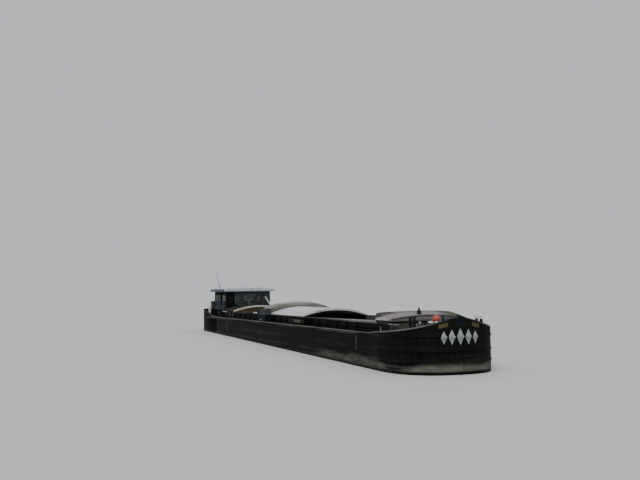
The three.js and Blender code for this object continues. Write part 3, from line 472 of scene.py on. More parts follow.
ochre_paint = Finish("ochre_board_paint", (0.066, 0.056, 0.020), 0.6, gloss=0.2)
ochre_paint.patches((0.046, 0.042, 0.02), 0.7, 0.5, 0.5, 0.35, 0.65, detail=3)
ochre_paint.grain(0.0008, 0.03, 0.3, 0.7, (1, 4, 1), 3)
name_boards = Shape()
half_width, half_height = NAME_BOARD_HALF
for side in (-1, 1):
    rings = []
    for step in range(-6, 7):
        away = NAME_BOARD_AWAY + half_width * step / 6
        middle = NAME_BOARD_HEIGHT - NAME_BOARD_SLOPE * (away - NAME_BOARD_AWAY)
        back, front = bow_face(away) + 0.001, bow_face(away) + 0.012
        low, high = middle - half_height, middle + half_height
        corners = ((back, low), (front, low), (front, high), (back, high))
        rings.append([(x, side * away, z) for x, z in corners])
    name_boards.loft(rings)
name_boards.piece("bow_name_boards", ochre_paint, "hull_paint")

# Draught marks and side fittings
# Thin white strips with plain steps, welded to the plating near both ends and amidships, and the round
# outlets of the bilge pump and the cooling water.
MARK_STATIONS = [(13.8, 1.72, 2.44), (-1.5, 1.75, 2.05), (-9.8, 1.50, 2.44)]
MARK_STEP = 0.10
OUTLETS = [(-12.2, 1.95), (-13.9, 2.05), (12.4, 2.02)]

faded_white = Finish("faded_mark_paint", (0.13, 0.13, 0.12), 0.6, gloss=DULL)
faded_white.patches((0.045, 0.043, 0.04), 0.7, 0.7, 0.07, 0.45, 0.6, detail=5)
draught_marks = Shape()
for x, low, high in MARK_STATIONS:
    for side in (-1, 1):
        face = side * SHELL_Y
        front = face + side * 0.006
        draught_marks.box(x - 0.020, x + 0.020, face, front, low, high)
        for step in range(int((high - low) / MARK_STEP)):
            z = low + MARK_STEP * step
            draught_marks.box(x - 0.020, x + (0.12 if step % 2 else 0.085), face, front, z, z + 0.028)
draught_marks.piece("draught_marks", faded_white, "white_plastic")

outlets = Shape()
for x, z in OUTLETS:
    for side in (-1, 1):
        outlets.bar((x, side * (SHELL_Y - 0.03), z), (x, side * (SHELL_Y + 0.03), z), 0.06, 16)
outlets.piece("side_outlets", steel, "hull_paint", 0.006)

# Hold
# The open cargo space: steel frames up both sides, a worn floor of planks, and a grab ladder at its fore end.
# Dust and grain lie on the floor, and the steel is brown with rust where cargo has scraped it.
HOLD_AFT = -9.7
HOLD_FORE = 15.14
HOLD_FLOOR = 0.30
FLOOR_TOP = HOLD_FLOOR + 0.002
FRAME_STEP = 0.50
FRAME_DEPTH = 0.10
PLANK_WIDTH = 0.24
PLANK_THICK = 0.045
PLANK_LENGTH = 3.08
PLANK_LENGTHS = 8
PLANK_GAP = 0.012
LADDER_SIDES = (-1.42, -1.08)
SIDE_INNER = 2.38


class Rows:
    """A Geometry Nodes tree that sets copies of a shape in rows, and leaves them as one plain mesh."""

    def __init__(self):
        self.tree = bpy.data.node_groups.new("rows_of_pieces", "GeometryNodeTree")
        face = self.tree.interface
        face.new_socket("Geometry", in_out="OUTPUT", socket_type="NodeSocketGeometry")
        self.sockets = [
            face.new_socket(name, in_out="INPUT", socket_type="NodeSocket" + kind).identifier
            for name, kind in (
                ("Geometry", "Geometry"), ("Finish", "Material"), ("Count", "Int"), ("Step", "Vector"),
                ("Rows", "Int"), ("Row step", "Vector"),
            )
        ]
        add = self.tree.nodes.new
        start = add("NodeGroupInput")
        shape = start.outputs["Geometry"]
        for count, step in (("Count", "Step"), ("Rows", "Row step")):
            values = {"Count": start.outputs[count], "Offset": start.outputs[step]}
            line = self.join(add("GeometryNodeMeshLine"), values)
            shape = self.join(add("GeometryNodeInstanceOnPoints"), {"Points": line, "Instance": shape})
        shape = self.join(add("GeometryNodeRealizeInstances"), {"Geometry": shape})
        values = {"Geometry": shape, "Material": start.outputs["Finish"]}
        shape = self.join(add("GeometryNodeSetMaterial"), values)
        self.tree.links.new(shape, add("NodeGroupOutput").inputs["Geometry"])

    def join(self, node, values):
        for name, value in values.items():
            self.tree.links.new(value, node.inputs[name])
        return node.outputs[0]

    def lay(self, shape, name, finish, count, step, rows=1, row_step=(0, 0, 0), smooth=0, body="hull"):
        """shape is the first piece, at its place. The rest follow at each step, the rows at each row step."""
        unit = bpy.data.objects.new(name + "_one", shape.to_mesh(name + "_one"))
        bpy.context.scene.collection.objects.link(unit)
        row = unit.modifiers.new("row", "NODES")
        row.node_group = self.tree
        for socket, value in zip(self.sockets[1:], (finish.material, count, step, rows, row_step)):
            row[socket] = value
        bpy.context.view_layer.update()
        seen = unit.evaluated_get(bpy.context.evaluated_depsgraph_get())
        laid = bpy.data.meshes.new_from_object(seen)
        unit.modifiers.remove(row)
        bpy.data.objects.remove(unit)
        laid.name = name
        return finish_piece(laid, name, finish, smooth=smooth, body=body)


rows = Rows()

hold_steel = Finish("hold_steel", (0.040, 0.032, 0.026), 0.75)
hold_steel.patches((0.06, 0.036, 0.022), 0.85, 1, 0.9, 0.4, 0.65, detail=5)
hold_steel.patches(RUST, 0.9, 0.8, 0.25, 0.52, 0.66, (1, 1, 3), 4, 9.0)
hold_steel.patches((0.1, 0.095, 0.085), 0.8, 0.6, 0.6, 0.5, 0.7, detail=3, shift=4.0)
hold_steel.grain(0.002, 0.08, 0.3, 0.7)
planks = Finish("hold_planks", (0.155, 0.120, 0.083), 0.85)
planks.patches((0.085, 0.062, 0.042), 0.9, 1, 0.05, 0.35, 0.7, (14, 1, 1), 5)
planks.patches((0.27, 0.235, 0.17), 0.95, 0.7, 1.6, 0.42, 0.66, detail=5, shift=3.0)
planks.patches((0.03, 0.026, 0.022), 0.8, 0.7, 0.5, 0.58, 0.7, shift=8.0)
planks.grain(0.002, 0.03, 0.3, 0.7, (14, 1, 1), 4)
paint(hold_steel, "hold_bulkhead", "coaming_fore")

frame_count = int((HOLD_FORE - HOLD_AFT) / FRAME_STEP)
for side, name in ((-1, "starboard"), (1, "port")):
    one = Shape()
    x = HOLD_AFT + 0.3
    wall = side * (SIDE_INNER - 0.001)
    foot = side * (SIDE_INNER - FRAME_DEPTH)
    one.box(x, x + 0.01, wall, foot, FLOOR_TOP, DECK_HEIGHT - 0.095)
    one.box(x - 0.03, x + 0.04, foot, foot + side * 0.01, FLOOR_TOP, DECK_HEIGHT - 0.095)
    knee = [(x + 0.005, foot, HOLD_FLOOR + 0.30), (x + 0.005, foot, FLOOR_TOP),
            (x + 0.005, foot - side * 0.26, FLOOR_TOP)]
    one.slab(knee, 0.010, (1, 0, 0))
    rows.lay(one, f"hold_frames_{name}", hold_steel, frame_count, (FRAME_STEP, 0, 0))

plank_half = SIDE_INNER - FRAME_DEPTH - 0.28
plank_count = round(2 * plank_half / PLANK_WIDTH)
plank_step = 2 * plank_half / plank_count
plank = Shape().box(
    HOLD_AFT + 0.05, HOLD_AFT + 0.05 + PLANK_LENGTH - PLANK_GAP,
    -plank_half, -plank_half + plank_step - PLANK_GAP,
    FLOOR_TOP, HOLD_FLOOR + PLANK_THICK,
)
rows.lay(plank, "hold_floor_planks", planks, plank_count, (0, plank_step, 0), PLANK_LENGTHS,
         (PLANK_LENGTH, 0, 0))

ladder = Shape()
for y in LADDER_SIDES:
    ladder.box(HOLD_FORE - 0.16, HOLD_FORE - 0.10, y - 0.006, y + 0.006, HOLD_FLOOR + 0.1, 3.02)
    for z in (0.6, 1.8, 2.9):
        ladder.box(HOLD_FORE - 0.12, HOLD_FORE - 0.001, y - 0.02, y + 0.02, z - 0.006, z + 0.006)
ladder.piece("hold_ladder_rails", hold_steel, "coaming_paint")
rung = Shape().bar(*((HOLD_FORE - 0.13, y, 0.55) for y in LADDER_SIDES), 0.012, 8)
rows.lay(rung, "hold_ladder_rungs", hold_steel, 9, (0, 0, 0.28))

# Coamings
# The upright plates along the hold, black outside, with a bulb along the top edge that the covers slide on.
# Brackets stiffen them every 1.3 m. The cover rollers wear their top edge pale, most at the fore end.
COAMING_Y = 2.0
COAMING_TOP = 3.07
COAMING_FACE = COAMING_Y + 0.001  # where what is fixed to its outer side begins
BRACKET_STEP = 1.308
BRACKET_FOOT = 0.07
RUBBING_RAIL = [(5.2, 3.03), (15.13, 3.09), (15.13, 3.155), (5.2, 3.075)]

coaming_paint = Finish("coaming_black", (0.0050, 0.0056, 0.0052), 0.55, gloss=DULL)
coaming_paint.patches((0.0095, 0.01, 0.0088), 0.6, 0.6, 0.8, 0.4, 0.7, (3, 1, 1), 4)
runs = coaming_paint.noise(0.10, 0.50, 0.72, (1, 1, 8), 4, 6.0)
coaming_paint.coat(runs * 0.4, (0.017, 0.016, 0.013), 0.7)
coaming_paint.patches(DULL_RUST, 0.85, 0.4, 0.2, 0.6, 0.7, detail=5, shift=9.0)
edge_wear = coaming_paint.noise(0.7, 0.3, 0.55, (4, 1, 1), 4, 1.0) * 0.65 + 0.35
edge_wear = edge_wear * coaming_paint.axis("Z").between(COAMING_TOP - 0.075, COAMING_TOP - 0.05)
coaming_paint.coat(edge_wear * 0.7, (0.06, 0.061, 0.055), 0.6)
along = coaming_paint.axis("X")
toward_bow = along.between(8.0, 13.0) * along.between(15.19, 15.15)
coaming_paint.coat(edge_wear * toward_bow * 0.95, (0.34, 0.345, 0.31), 0.6)
inner_face = abs(coaming_paint.axis("Y")).between(COAMING_Y - 0.045, COAMING_Y - 0.055)
coaming_paint.coat(inner_face * along.between(4.6, 5.4), (0.075, 0.07, 0.058), 0.85)
coaming_paint.grain(0.006, 0.9, 0.2, 0.8, detail=2, shift=2.0)
paint(coaming_paint, "coaming_starboard", "coaming_port", "fore_house")

bracket_count = int((HOLD_FORE - HOLD_AFT) / BRACKET_STEP)
hook_count = int((HOLD_FORE - HOLD_AFT - 0.8) / BRACKET_STEP)
for side, name in ((-1, "starboard"), (1, "port")):
    x = HOLD_AFT + 0.3
    wall = side * COAMING_FACE
    bracket = Shape().slab([
        (x, wall, DECK_HEIGHT + 0.002),
        (x, wall + side * BRACKET_FOOT, DECK_HEIGHT + 0.002),
        (x, wall + side * BRACKET_FOOT, DECK_HEIGHT + 0.04),
        (x, wall + side * 0.04, COAMING_TOP - 0.10),
        (x, wall, COAMING_TOP - 0.10),
    ], 0.010, (1, 0, 0))
    rows.lay(bracket, f"coaming_brackets_{name}", coaming_paint, bracket_count,
             (BRACKET_STEP, 0, 0))
    hook = Shape()
    x = HOLD_AFT + 0.62
    hook.box(x - 0.035, x + 0.035, wall, wall + side * 0.018, COAMING_TOP - 0.26, COAMING_TOP - 0.12)
    hook.pipe([
        (x, wall + side * (0.018 + 0.045 * math.sin(a)), COAMING_TOP - 0.19 + 0.04 * math.cos(a))
        for a in circle(20)[:11]
    ], 0.007, 6)
    rows.lay(hook, f"lashing_eyes_{name}", coaming_paint, hook_count, (BRACKET_STEP, 0, 0))

stringers = Shape()
for side in (-1, 1):
    stringers.box(HOLD_AFT + 0.02, HOLD_FORE - 0.02, side * COAMING_FACE, side * (COAMING_Y + 0.05),
                  2.80, 2.812)
stringers.piece("coaming_stringers", coaming_paint, "coaming_paint")
rail_paint = Finish("coaming_rail_paint", (0.36, 0.365, 0.32), 0.65, gloss=0.2)
rail_paint.patches((0.2, 0.2, 0.17), 0.7, 0.7, 0.5, 0.35, 0.62, (4, 1, 1), 4, 3.0)
rail_paint.coat(rail_paint.axis("X").between(13.0, 7.0) * 0.93, (0.022, 0.023, 0.02), 0.6)
rubbing_rails = Shape()
for side in (-1, 1):
    y = side * (COAMING_Y + 0.054)
    rubbing_rails.slab([(x, y, z) for x, z in RUBBING_RAIL], 0.044, (0, 1, 0))
rubbing_rails.piece("coaming_rubbing_rails", rail_paint, "coaming_paint", 0.004)

# Side box and its board
# A steel store box stands on the starboard side deck at the coaming, painted dark blue-green. Well forward of
# it a bare board is screwed to the coaming, dull olive with a plain pale field.
BOARD_AFT, BOARD_FORE = 3.30, 6.00
BOARD_LOW, BOARD_HIGH = 2.70, 2.93
BOARD_FIELD = (4.30, 5.40)

box_low, box_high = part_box("side_box")
locker_paint = Finish("store_box_paint", (0.0065, 0.0090, 0.0140), 0.6, gloss=DULL)
locker_paint.patches((0.0115, 0.015, 0.02), 0.6, 0.6, 0.3, 0.4, 0.7, detail=5)
locker_paint.patches(DULL_RUST, 0.8, 0.6, 0.1, 0.62, 0.7, (1, 1, 5), 4, 3.0)
faded_top = locker_paint.axis("Z").between(box_high.z - 0.34, box_high.z - 0.22)
faded_top *= locker_paint.axis("X").between(-2.1, -1.6)
locker_paint.coat(faded_top * 0.9, (0.058, 0.067, 0.066), 0.65)
paint(locker_paint, "side_box")
lid_trim = Shape().box(box_low.x - 0.025, box_high.x + 0.025, box_low.y - 0.025, box_high.y - 0.01,
                       box_high.z - 0.05, box_high.z + 0.012)
for share in (0.2, 0.5, 0.8):
    x = box_low.x + share * (box_high.x - box_low.x)
    lid_trim.box(x - 0.05, x + 0.05, box_low.y - 0.035, box_low.y - 0.001,
                 box_high.z - 0.15, box_high.z - 0.03)
    lid_trim.bar(*((x + end, box_high.y - 0.05, box_high.z + 0.02) for end in (-0.06, 0.06)), 0.014)
lid_trim.box(box_low.x + 0.02, box_high.x - 0.02, box_low.y - 0.008, box_low.y - 0.001,
             box_low.z + 0.02, box_low.z + 0.06)
lid_trim.piece("side_box_lid", locker_paint, "house_dark", 0.006)
board = Shape().box(BOARD_AFT, BOARD_FORE, -COAMING_Y - 0.262, -COAMING_Y - 0.240, BOARD_LOW, BOARD_HIGH)
for x in (BOARD_AFT + 0.1, BOARD_FORE - 0.1):
    board.box(x - 0.015, x + 0.015, -COAMING_Y - 0.241, -COAMING_Y - 0.001,
              BOARD_LOW + 0.05, BOARD_LOW + 0.06)
board_paint = Finish("coaming_board_paint", (0.012, 0.013, 0.0045), 0.6, gloss=0.06)
board_paint.patches((0.008, 0.008, 0.0045), 0.7, 0.5, 0.5, 0.35, 0.65, (2, 1, 1), 3)
field = board_paint.axis("X").band(*BOARD_FIELD, 0.06)
field *= board_paint.axis("Z").band(BOARD_LOW + 0.035, BOARD_HIGH - 0.025, 0.012)
board_paint.coat(field * 0.85, (0.105, 0.11, 0.088), 0.7)
board.piece("coaming_board", board_paint, "house_dark", 0.004)

# Hatch covers
# Arched aluminium panels, each with a flange at both ends, two pressed ribs and lifting handles. The long
# white row slides. The grey ones are dusty, and three single panels lie stacked on the aft one.
COVER_SPAN = 2.02
COVER_EDGE = 0.03
COVER_RISE = 0.40
PANEL_GAP = 0.015
AFT_PANEL = 1.44
MID_PANEL = 1.21
MID_COUNT = 5
HANDLE_Y = 1.78
HANDLE = [(-0.07, 0), (-0.07, 0.045), (-0.05, 0.055), (0.05, 0.055), (0.07, 0.045), (0.07, 0)]
RIVET_X = 0.0275
RIVET_SPAN = 1.94


def cover_metal(name, base, dust, grime, dust_share, lit_top=None):
    """Sheet with streaks, dust, stains and spots, grimy low down. lit_top is the height of a crown painted
    lighter, a painted highlight where the sky falls on it.
    """
    metal = Finish(name, base, 0.42, 0.25)
    metal.patches(grime, 0.6, 0.5, 0.22, 0.42, 0.70, (1, 6, 6), 5)
    metal.patches(dust, 0.8, dust_share, 1.1, 0.38, 0.66, (1, 1, 1), 5, 5.0)
    metal.patches([c * 0.5 for c in grime], 0.75, 0.5, 0.35, 0.6, 0.72, (1, 2, 2), 5, 13.0)
    metal.patches([c * 0.4 for c in grime], 0.8, 0.6, 0.04, 0.66, 0.72, detail=3, shift=2.0)
    low_edge = abs(metal.axis("Y")).between(1.45, 2.0) * metal.noise(0.3, 0.3, 0.7, (1, 4, 4), 4, 7.0)
    metal.coat(low_edge * 0.5, grime, 0.75)
    if lit_top:
        # painted highlight: the crown of the top panel is made lighter where the sky falls on it
        metal.coat(metal.axis("Z").between(lit_top - 0.16, lit_top - 0.03) * 0.8, (0.47, 0.47, 0.45), 0.6)
    metal.grain(0.006, 0.5, 0.2, 0.8, (1, 2, 2), 2, 3.0)
    return metal


cover_white = cover_metal("cover_white_metal", (0.66, 0.65, 0.68), (0.5, 0.49, 0.46), (0.36, 0.35, 0.32),
                          0.35)
cover_grey = cover_metal("cover_grey_metal", (0.25, 0.25, 0.235), (0.21, 0.2, 0.165), (0.115, 0.112, 0.097),
                         0.75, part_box("cover_stack_3")[1].z)


def across(half_width, steps=28):
    """Places across the boat at even steps, from port to starboard."""
    return [half_width * (1 - 2 * i / steps) for i in range(steps + 1)]


def arch(y, half_width, rise):
    """How high an arched roof or cover stands over its edge at a place across the boat."""
    return rise * (1 - (y / half_width) ** 2)


def cover_face(y, base):
    """Height of a cover's upper face."""
    return base + COVER_EDGE + arch(y, COVER_SPAN, COVER_RISE)


def arch_rib(shape, x0, x1, base, stand, deep, reach=1.0):
    """A rib that follows the cover's upper face, standing proud of it and sunk a little into it."""
    return shape.loft([
        [(x, y, cover_face(y, base) + drop) for y in across(COVER_SPAN * reach)]
        for x, drop in ((x0, -deep), (x0 + 0.01, stand), (x1 - 0.01, stand), (x1, -deep))
    ], closed=False, capped=False)


def cover_ribs(shape, aft, panel, count, base):
    """Flanges at the ends of every panel, two ribs between them and a handle at each side."""
    for i in range(count):
        x0 = aft + i * panel
        x1 = x0 + panel - PANEL_GAP
        arch_rib(shape, x0, x0 + 0.055, base, 0.016, 0.004)
        arch_rib(shape, x1 - 0.055, x1, base, 0.016, 0.004)
        for share in (0.34, 0.66):
            middle = x0 + share * (x1 - x0)
            arch_rib(shape, middle - 0.035, middle + 0.035, base, 0.009, 0.003, 0.955)
        for y in (-HANDLE_Y, HANDLE_Y):
            z = cover_face(y, base)
            for x in (x0 + 0.22, x1 - 0.22):
                shape.pipe([(x + out, y, z + lift) for out, lift in HANDLE], 0.007, 6)
    return shape


def cover_rivets(name, finish, aft, panel, count, base, body="hull"):
    """Rows of rivet heads along each panel's end flanges."""
    head = Shape()
    for y in across(RIVET_SPAN, 38):
        z = cover_face(y, base) + 0.0155
        head.loft([
            [(aft + RIVET_X + r * math.cos(a), y + r * math.sin(a), z + lift) for a in circle(6)]
            for r, lift in ((0.010, 0), (0.004, 0.005))
        ])
    flange_step = panel - PANEL_GAP - 0.055
    return rows.lay(head, name, finish, 2, (flange_step, 0, 0), count, (panel, 0, 0), body=body)


mid_low, mid_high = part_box("cover_mid")
smooth_copy("cover_mid", "mid_cover_panels", cover_white, 25, body="mid_covers")
mid_base = mid_high.z - COVER_RISE - COVER_EDGE
mid_ribs = cover_ribs(Shape(), mid_low.x, MID_PANEL, MID_COUNT, mid_base)
mid_ribs.piece("mid_cover_ribs", cover_white, "cover_white", smooth=35, body="mid_covers")
cover_rivets("mid_cover_rivets", cover_white, mid_low.x, MID_PANEL, MID_COUNT, mid_base,
             body="mid_covers")
for node in ("cover_aft", "cover_stack_1", "cover_stack_2", "cover_stack_3"):
    low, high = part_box(node)
    base = high.z - COVER_RISE - COVER_EDGE
    smooth_copy(node, node + "_panels", cover_grey, 25)
# only the topmost panel shows its ribs and rivets
ribs = cover_ribs(Shape(), low.x, AFT_PANEL, 1, base)
ribs.piece("cover_stack_ribs", cover_grey, "cover_grey", smooth=35)
cover_rivets("cover_stack_rivets", cover_grey, low.x, AFT_PANEL, 1, base)

# Fore house
# A low black store of plate ahead of the hold. Its thick roof of faded pinkish sheet is dusty from loading
# grain, has painted shade on its starboard shoulder at the aft end, and carries the folding light post
# between two cheeks.
roof_low, roof_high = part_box("fore_roof")
ROOF_SKIRT = 3.17
FRONT_BAND = 3.13
ROOF_LIP = 3.26
dusty = Finish("fore_roof_paint", (0.235, 0.215, 0.205), 0.75, gloss=0.2)
dusty.patches((0.175, 0.155, 0.148), 0.85, 0.5, 0.5, 0.35, 0.65, (1, 2, 1), 5)
dusty.patches((0.33, 0.31, 0.285), 0.9, 0.6, 0.25, 0.5, 0.66, (1, 3, 1), 5, 4.0)
away, up_there, along = dusty.axis("Y"), dusty.axis("Z"), dusty.axis("X")
# painted shade: the aft end of the starboard shoulder is darkened
aft_shade = away.between(-0.9, -1.45) * along.between(15.85, 15.5)
dusty.coat(aft_shade * 0.95, (0.05, 0.047, 0.042), 0.8)
port_green = away.between(0.5, 1.4)
dusty.coat(port_green * 0.9, (0.055, 0.07, 0.034), 0.85)
back_edge = along.between(roof_low.x + 0.16, roof_low.x + 0.02) * away.between(-1.3, -0.9)
dusty.coat(back_edge * dusty.noise(0.3, 0.38, 0.56, (1, 2, 1), 4, 6.0), (0.52, 0.5, 0.45), 0.7)
dusty.patches((0.045, 0.038, 0.034), 0.8, 0.6, 0.12, 0.64, 0.72, shift=8.0)
side_face = abs(away).between(1.965, 1.985)
climbing = up_there - (along - roof_low.x) * 0.11
side_light = side_face * (along.between(16.3, 15.95) * climbing.between(3.27, 3.22))
dusty.coat(side_light * dusty.noise(0.5, 0.2, 0.5, shift=2.0), (0.4, 0.385, 0.345), 0.8)
front_face = along.between(roof_high.x - 0.012, roof_high.x - 0.003)
dusty.coat(front_face, (0.105, 0.098, 0.104), 0.6)
skirt = side_face * up_there.between(ROOF_SKIRT + 0.005, ROOF_SKIRT - 0.005)
front_band = front_face * up_there.between(FRONT_BAND + 0.02, FRONT_BAND - 0.02)
dusty.coat(skirt | front_band, (0.0060, 0.0060, 0.0062), 0.6)
cheeks = along.band(16.08, 16.32, 0.002) * (away.band(-0.47, -0.29, 0.002) * up_there.between(3.395, 3.4))
dusty.coat(cheeks, (0.010, 0.010, 0.010), 0.6)
dusty.grain(0.012, 0.35, 0.2, 0.8, (1, 2, 1), 4, 3.0)
dusty.relief(dusty.lines("Y", 0.5, 0.014, 0.25), -0.004)
smooth_copy("fore_roof", "fore_roof_sheet", dusty, 28)

# a dark strip along the roof's front lip: painted shade, standing for the shadow in the gap under the lip
line = [(y, ROOF_LIP + arch(y, 1.86, 0.15)) for y in across(1.84, 20)]
fore_lip_shade = Shape().loft([
    [(x, y, z - 0.056) for y, z in line] + [(x, y, z - 0.038) for y, z in line[::-1]]
    for x in (roof_high.x + 0.001, roof_high.x + 0.001 + 0.016)
])
# dark rubber for the desk levers and the fender's eye; on the fore roof's lip the same finish is painted
# shade
dark_rubber_and_shade = Finish("dark_rubber_and_lip_shade", (0.012, 0.011, 0.011), 0.6)
dark_rubber_and_shade.patches((0.05, 0.045, 0.04), 0.8, 0.5, 0.1, 0.5, 0.7)
fore_lip_shade.piece("fore_roof_lip_shade", dark_rubber_and_shade, "coaming_paint")

low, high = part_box("fore_house")
house_door = Shape().box(high.x, high.x + 0.02, -1.35, -0.72, low.z + 0.06, high.z - 0.03)
for z in (low.z + 0.14, high.z - 0.11):
    house_door.bar((high.x + 0.02, -1.38, z), (high.x + 0.02, -1.28, z), 0.012)
house_door.box(high.x + 0.02, high.x + 0.032, -0.82, -0.76, 2.80, 2.84)
house_door.piece("fore_house_hatch_door", coaming_paint, "coaming_paint", 0.006)
vents = Shape()
for y in (-1.7, 1.7):
    for i in range(6):
        z = 2.74 + i * 0.035
        vents.slab([
            (high.x + out, y + aside, z - drop) for out, aside, drop in (
                (0.001, -0.12, 0), (0.001, 0.12, 0), (0.022, 0.12, 0.018), (0.022, -0.12, 0.018))
        ], 0.004, (0, 0, 1))
vents.piece("fore_house_louvres", coaming_paint, "coaming_paint")

# Aft cabin
# The living cabin between the hold and the wheelhouse: black sides with small dark windows, a dark arched
# roof, and a front of dull boards under a cream fascia.
CABIN_WINDOWS = (-12.15, -11.25, -10.35)
WINDOW_HALF = 0.28
WINDOW_LOW, WINDOW_HIGH = 2.70, 2.98
CABIN_WALL_TOP = 3.10
CABIN_CROWN = 3.50
GRAB_RAIL_Z = 3.02
front_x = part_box("cabin_roof")[1].x

cabin_black = Finish("cabin_side_paint", (0.0060, 0.0068, 0.0068), 0.5, gloss=DULL)
cabin_black.patches((0.014, 0.0145, 0.0135), 0.6, 0.5, 0.3, 0.45, 0.7)
cabin_black.grain(0.004, 0.8, 0.2, 0.8, detail=2)
paint(cabin_black, "cabin_wall_starboard", "cabin_wall_port")
roof_dark = Finish("cabin_roof_paint", (0.0130, 0.0140, 0.0140), 0.7, gloss=0.1)
roof_dark.patches((0.03, 0.03, 0.028), 0.8, 0.7, 0.7, 0.4, 0.65, detail=5)
roof_dark.patches((0.02, 0.023, 0.013), 0.9, 0.6, 0.2, 0.6, 0.7, detail=5, shift=4.0)
roof_dark.grain(0.0012, 0.004, 0.3, 0.7, detail=2)
smooth_copy("cabin_roof", "cabin_roof_deck", roof_dark, 25)

varnish = Finish("varnished_wood", (0.235, 0.105, 0.042), 0.32,
                 more={"Coat Weight": 0.35, "Coat Roughness": 0.15})
varnish.patches((0.125, 0.05, 0.02), 0.4, 1, 0.022, 0.35, 0.7, (1, 1, 22), 6)
varnish.patches((0.3, 0.17, 0.075), 0.5, 0.6, 0.25, 0.5, 0.7, (1, 1, 3), 4, 5.0)
varnish.grain(0.0006, 0.022, 0.3, 0.7, (1, 1, 22), 5)
front_boards = Finish("front_board_wood", (0.055, 0.048, 0.028), 0.6, gloss=0.2)
front_boards.patches((0.036, 0.031, 0.019), 0.65, 1, 0.03, 0.35, 0.7, (1, 1, 16), 5)
front_boards.coat(front_boards.lines("Y", 0.145, 0.012) * 0.9, (0.02, 0.014, 0.008), 0.8)
front_boards.patches((0.095, 0.08, 0.048), 0.65, 0.6, 0.5, 0.5, 0.7, shift=3.0)
front_boards.relief(front_boards.lines("Y", 0.145, 0.012), -0.003)
paint(front_boards, "cabin_front")

white_gloss = Finish("white_gloss_paint", (0.70, 0.70, 0.72), 0.35)
white_gloss.patches((0.5, 0.5, 0.48), 0.55, 0.45, 0.3, 0.45, 0.7, detail=5)
white_gloss.patches((0.3, 0.26, 0.2), 0.7, 0.5, 0.06, 0.62, 0.72, (1, 1, 4), 4, 6.0)


def cabin_arch(half_width, base, rise, depth, thick):
    """A board bent over the cabin's front, as thick as it is told and as deep."""
    line = [(y, base + arch(y, half_width, rise)) for y in across(half_width, 32)]
    under = [(y, z - depth) for y, z in line[::-1]]
    return Shape().loft([[(front_x + 0.001 + out, y, z) for y, z in line + under] for out in (0.0, thick)])


cream = Finish("fascia_cream_paint", (0.62, 0.59, 0.51), 0.5, gloss=0.3)
cream.patches((0.48, 0.45, 0.38), 0.65, 0.4, 0.4, 0.4, 0.66, detail=5)
cream.patches((0.2, 0.17, 0.12), 0.75, 0.5, 0.07, 0.6, 0.72, (1, 1, 4), 4, 6.0)
fascia = cabin_arch(2.05, CABIN_WALL_TOP + 0.04, CABIN_CROWN - CABIN_WALL_TOP - 0.045, 0.105, 0.028)
fascia.piece("cabin_roof_fascia", cream, "roof_white", 0.004)
wood_strip = Finish("tan_wood_strip", (0.36, 0.285, 0.145), 0.5, gloss=0.3)
wood_strip.patches((0.24, 0.18, 0.085), 0.6, 1, 0.03, 0.4, 0.7, (1, 14, 1), 4)
strip = cabin_arch(1.93, CABIN_WALL_TOP - 0.072, CABIN_CROWN - CABIN_WALL_TOP - 0.03, 0.030, 0.020)
strip.piece("cabin_front_strip", wood_strip, "varnished_wood", 0.003)
sill = Shape().box(front_x, front_x + 0.045, -1.92, 1.92, 3.00, 3.035)
for y in (-1.55, -0.8, 0.0, 0.8, 1.55):
    sill.box(front_x, front_x + 0.030, y - 0.04, y + 0.04, 2.40, 3.00)
sill.piece("cabin_front_rails", varnish, "varnished_wood", 0.004)

glass = Finish("window_glass", (0.80, 0.84, 0.83), 0.04, gloss=0.2,
               more={"Transmission Weight": 0.98, "IOR": 1.2})
glass.patches((0.7, 0.73, 0.71), 0.1, 0.4, 0.25, 0.4, 0.7, detail=3)
smoked_glass = Finish("smoked_window_glass", (0.070, 0.078, 0.076), 0.06, gloss=0.02,
                      more={"Transmission Weight": 0.85, "IOR": 1.15})
smoked_glass.patches((0.05, 0.055, 0.054), 0.12, 0.5, 0.3, 0.4, 0.7, detail=3)


def framed_window(frames, panes, opening, wall_face, way, width, proud, pane_depth=0.03):
    """A frame of four bars round an opening, and its pane. way is X or Y, the way the window runs."""
    a0, a1, z0, z1 = opening
    side = math.copysign(1, proud)
    face = (wall_face - side * 0.004, wall_face + proud)
    pane = (wall_face - side * pane_depth, wall_face - side * (pane_depth + 0.006))
    for shape, along, through, *heights in (
        (frames, (a0 - width, a1 + width), face, z0 - width, z0),
        (frames, (a0 - width, a1 + width), face, z1, z1 + width),
        (frames, (a0 - width, a0), face, z0, z1),
        (frames, (a1, a1 + width), face, z0, z1),
        (panes, (a0 - 0.001, a1 + 0.001), pane, z0 - 0.001, z1 + 0.001),
    ):
        sides = (*along, *through) if way == "X" else (*through, *along)
        shape.box(*sides, *heights)


cabin_frames, cabin_panes = Shape(), Shape()
for side in (-1, 1):
    for x in CABIN_WINDOWS:
        opening = (x - WINDOW_HALF, x + WINDOW_HALF, WINDOW_LOW, WINDOW_HIGH)
        framed_window(cabin_frames, cabin_panes, opening, side * COAMING_Y, "X", 0.03, side * 0.018)
cabin_frames.piece("cabin_window_frames", cabin_black, "house_pale", 0.003)
cabin_panes.piece("cabin_window_panes", smoked_glass, "house_pale")
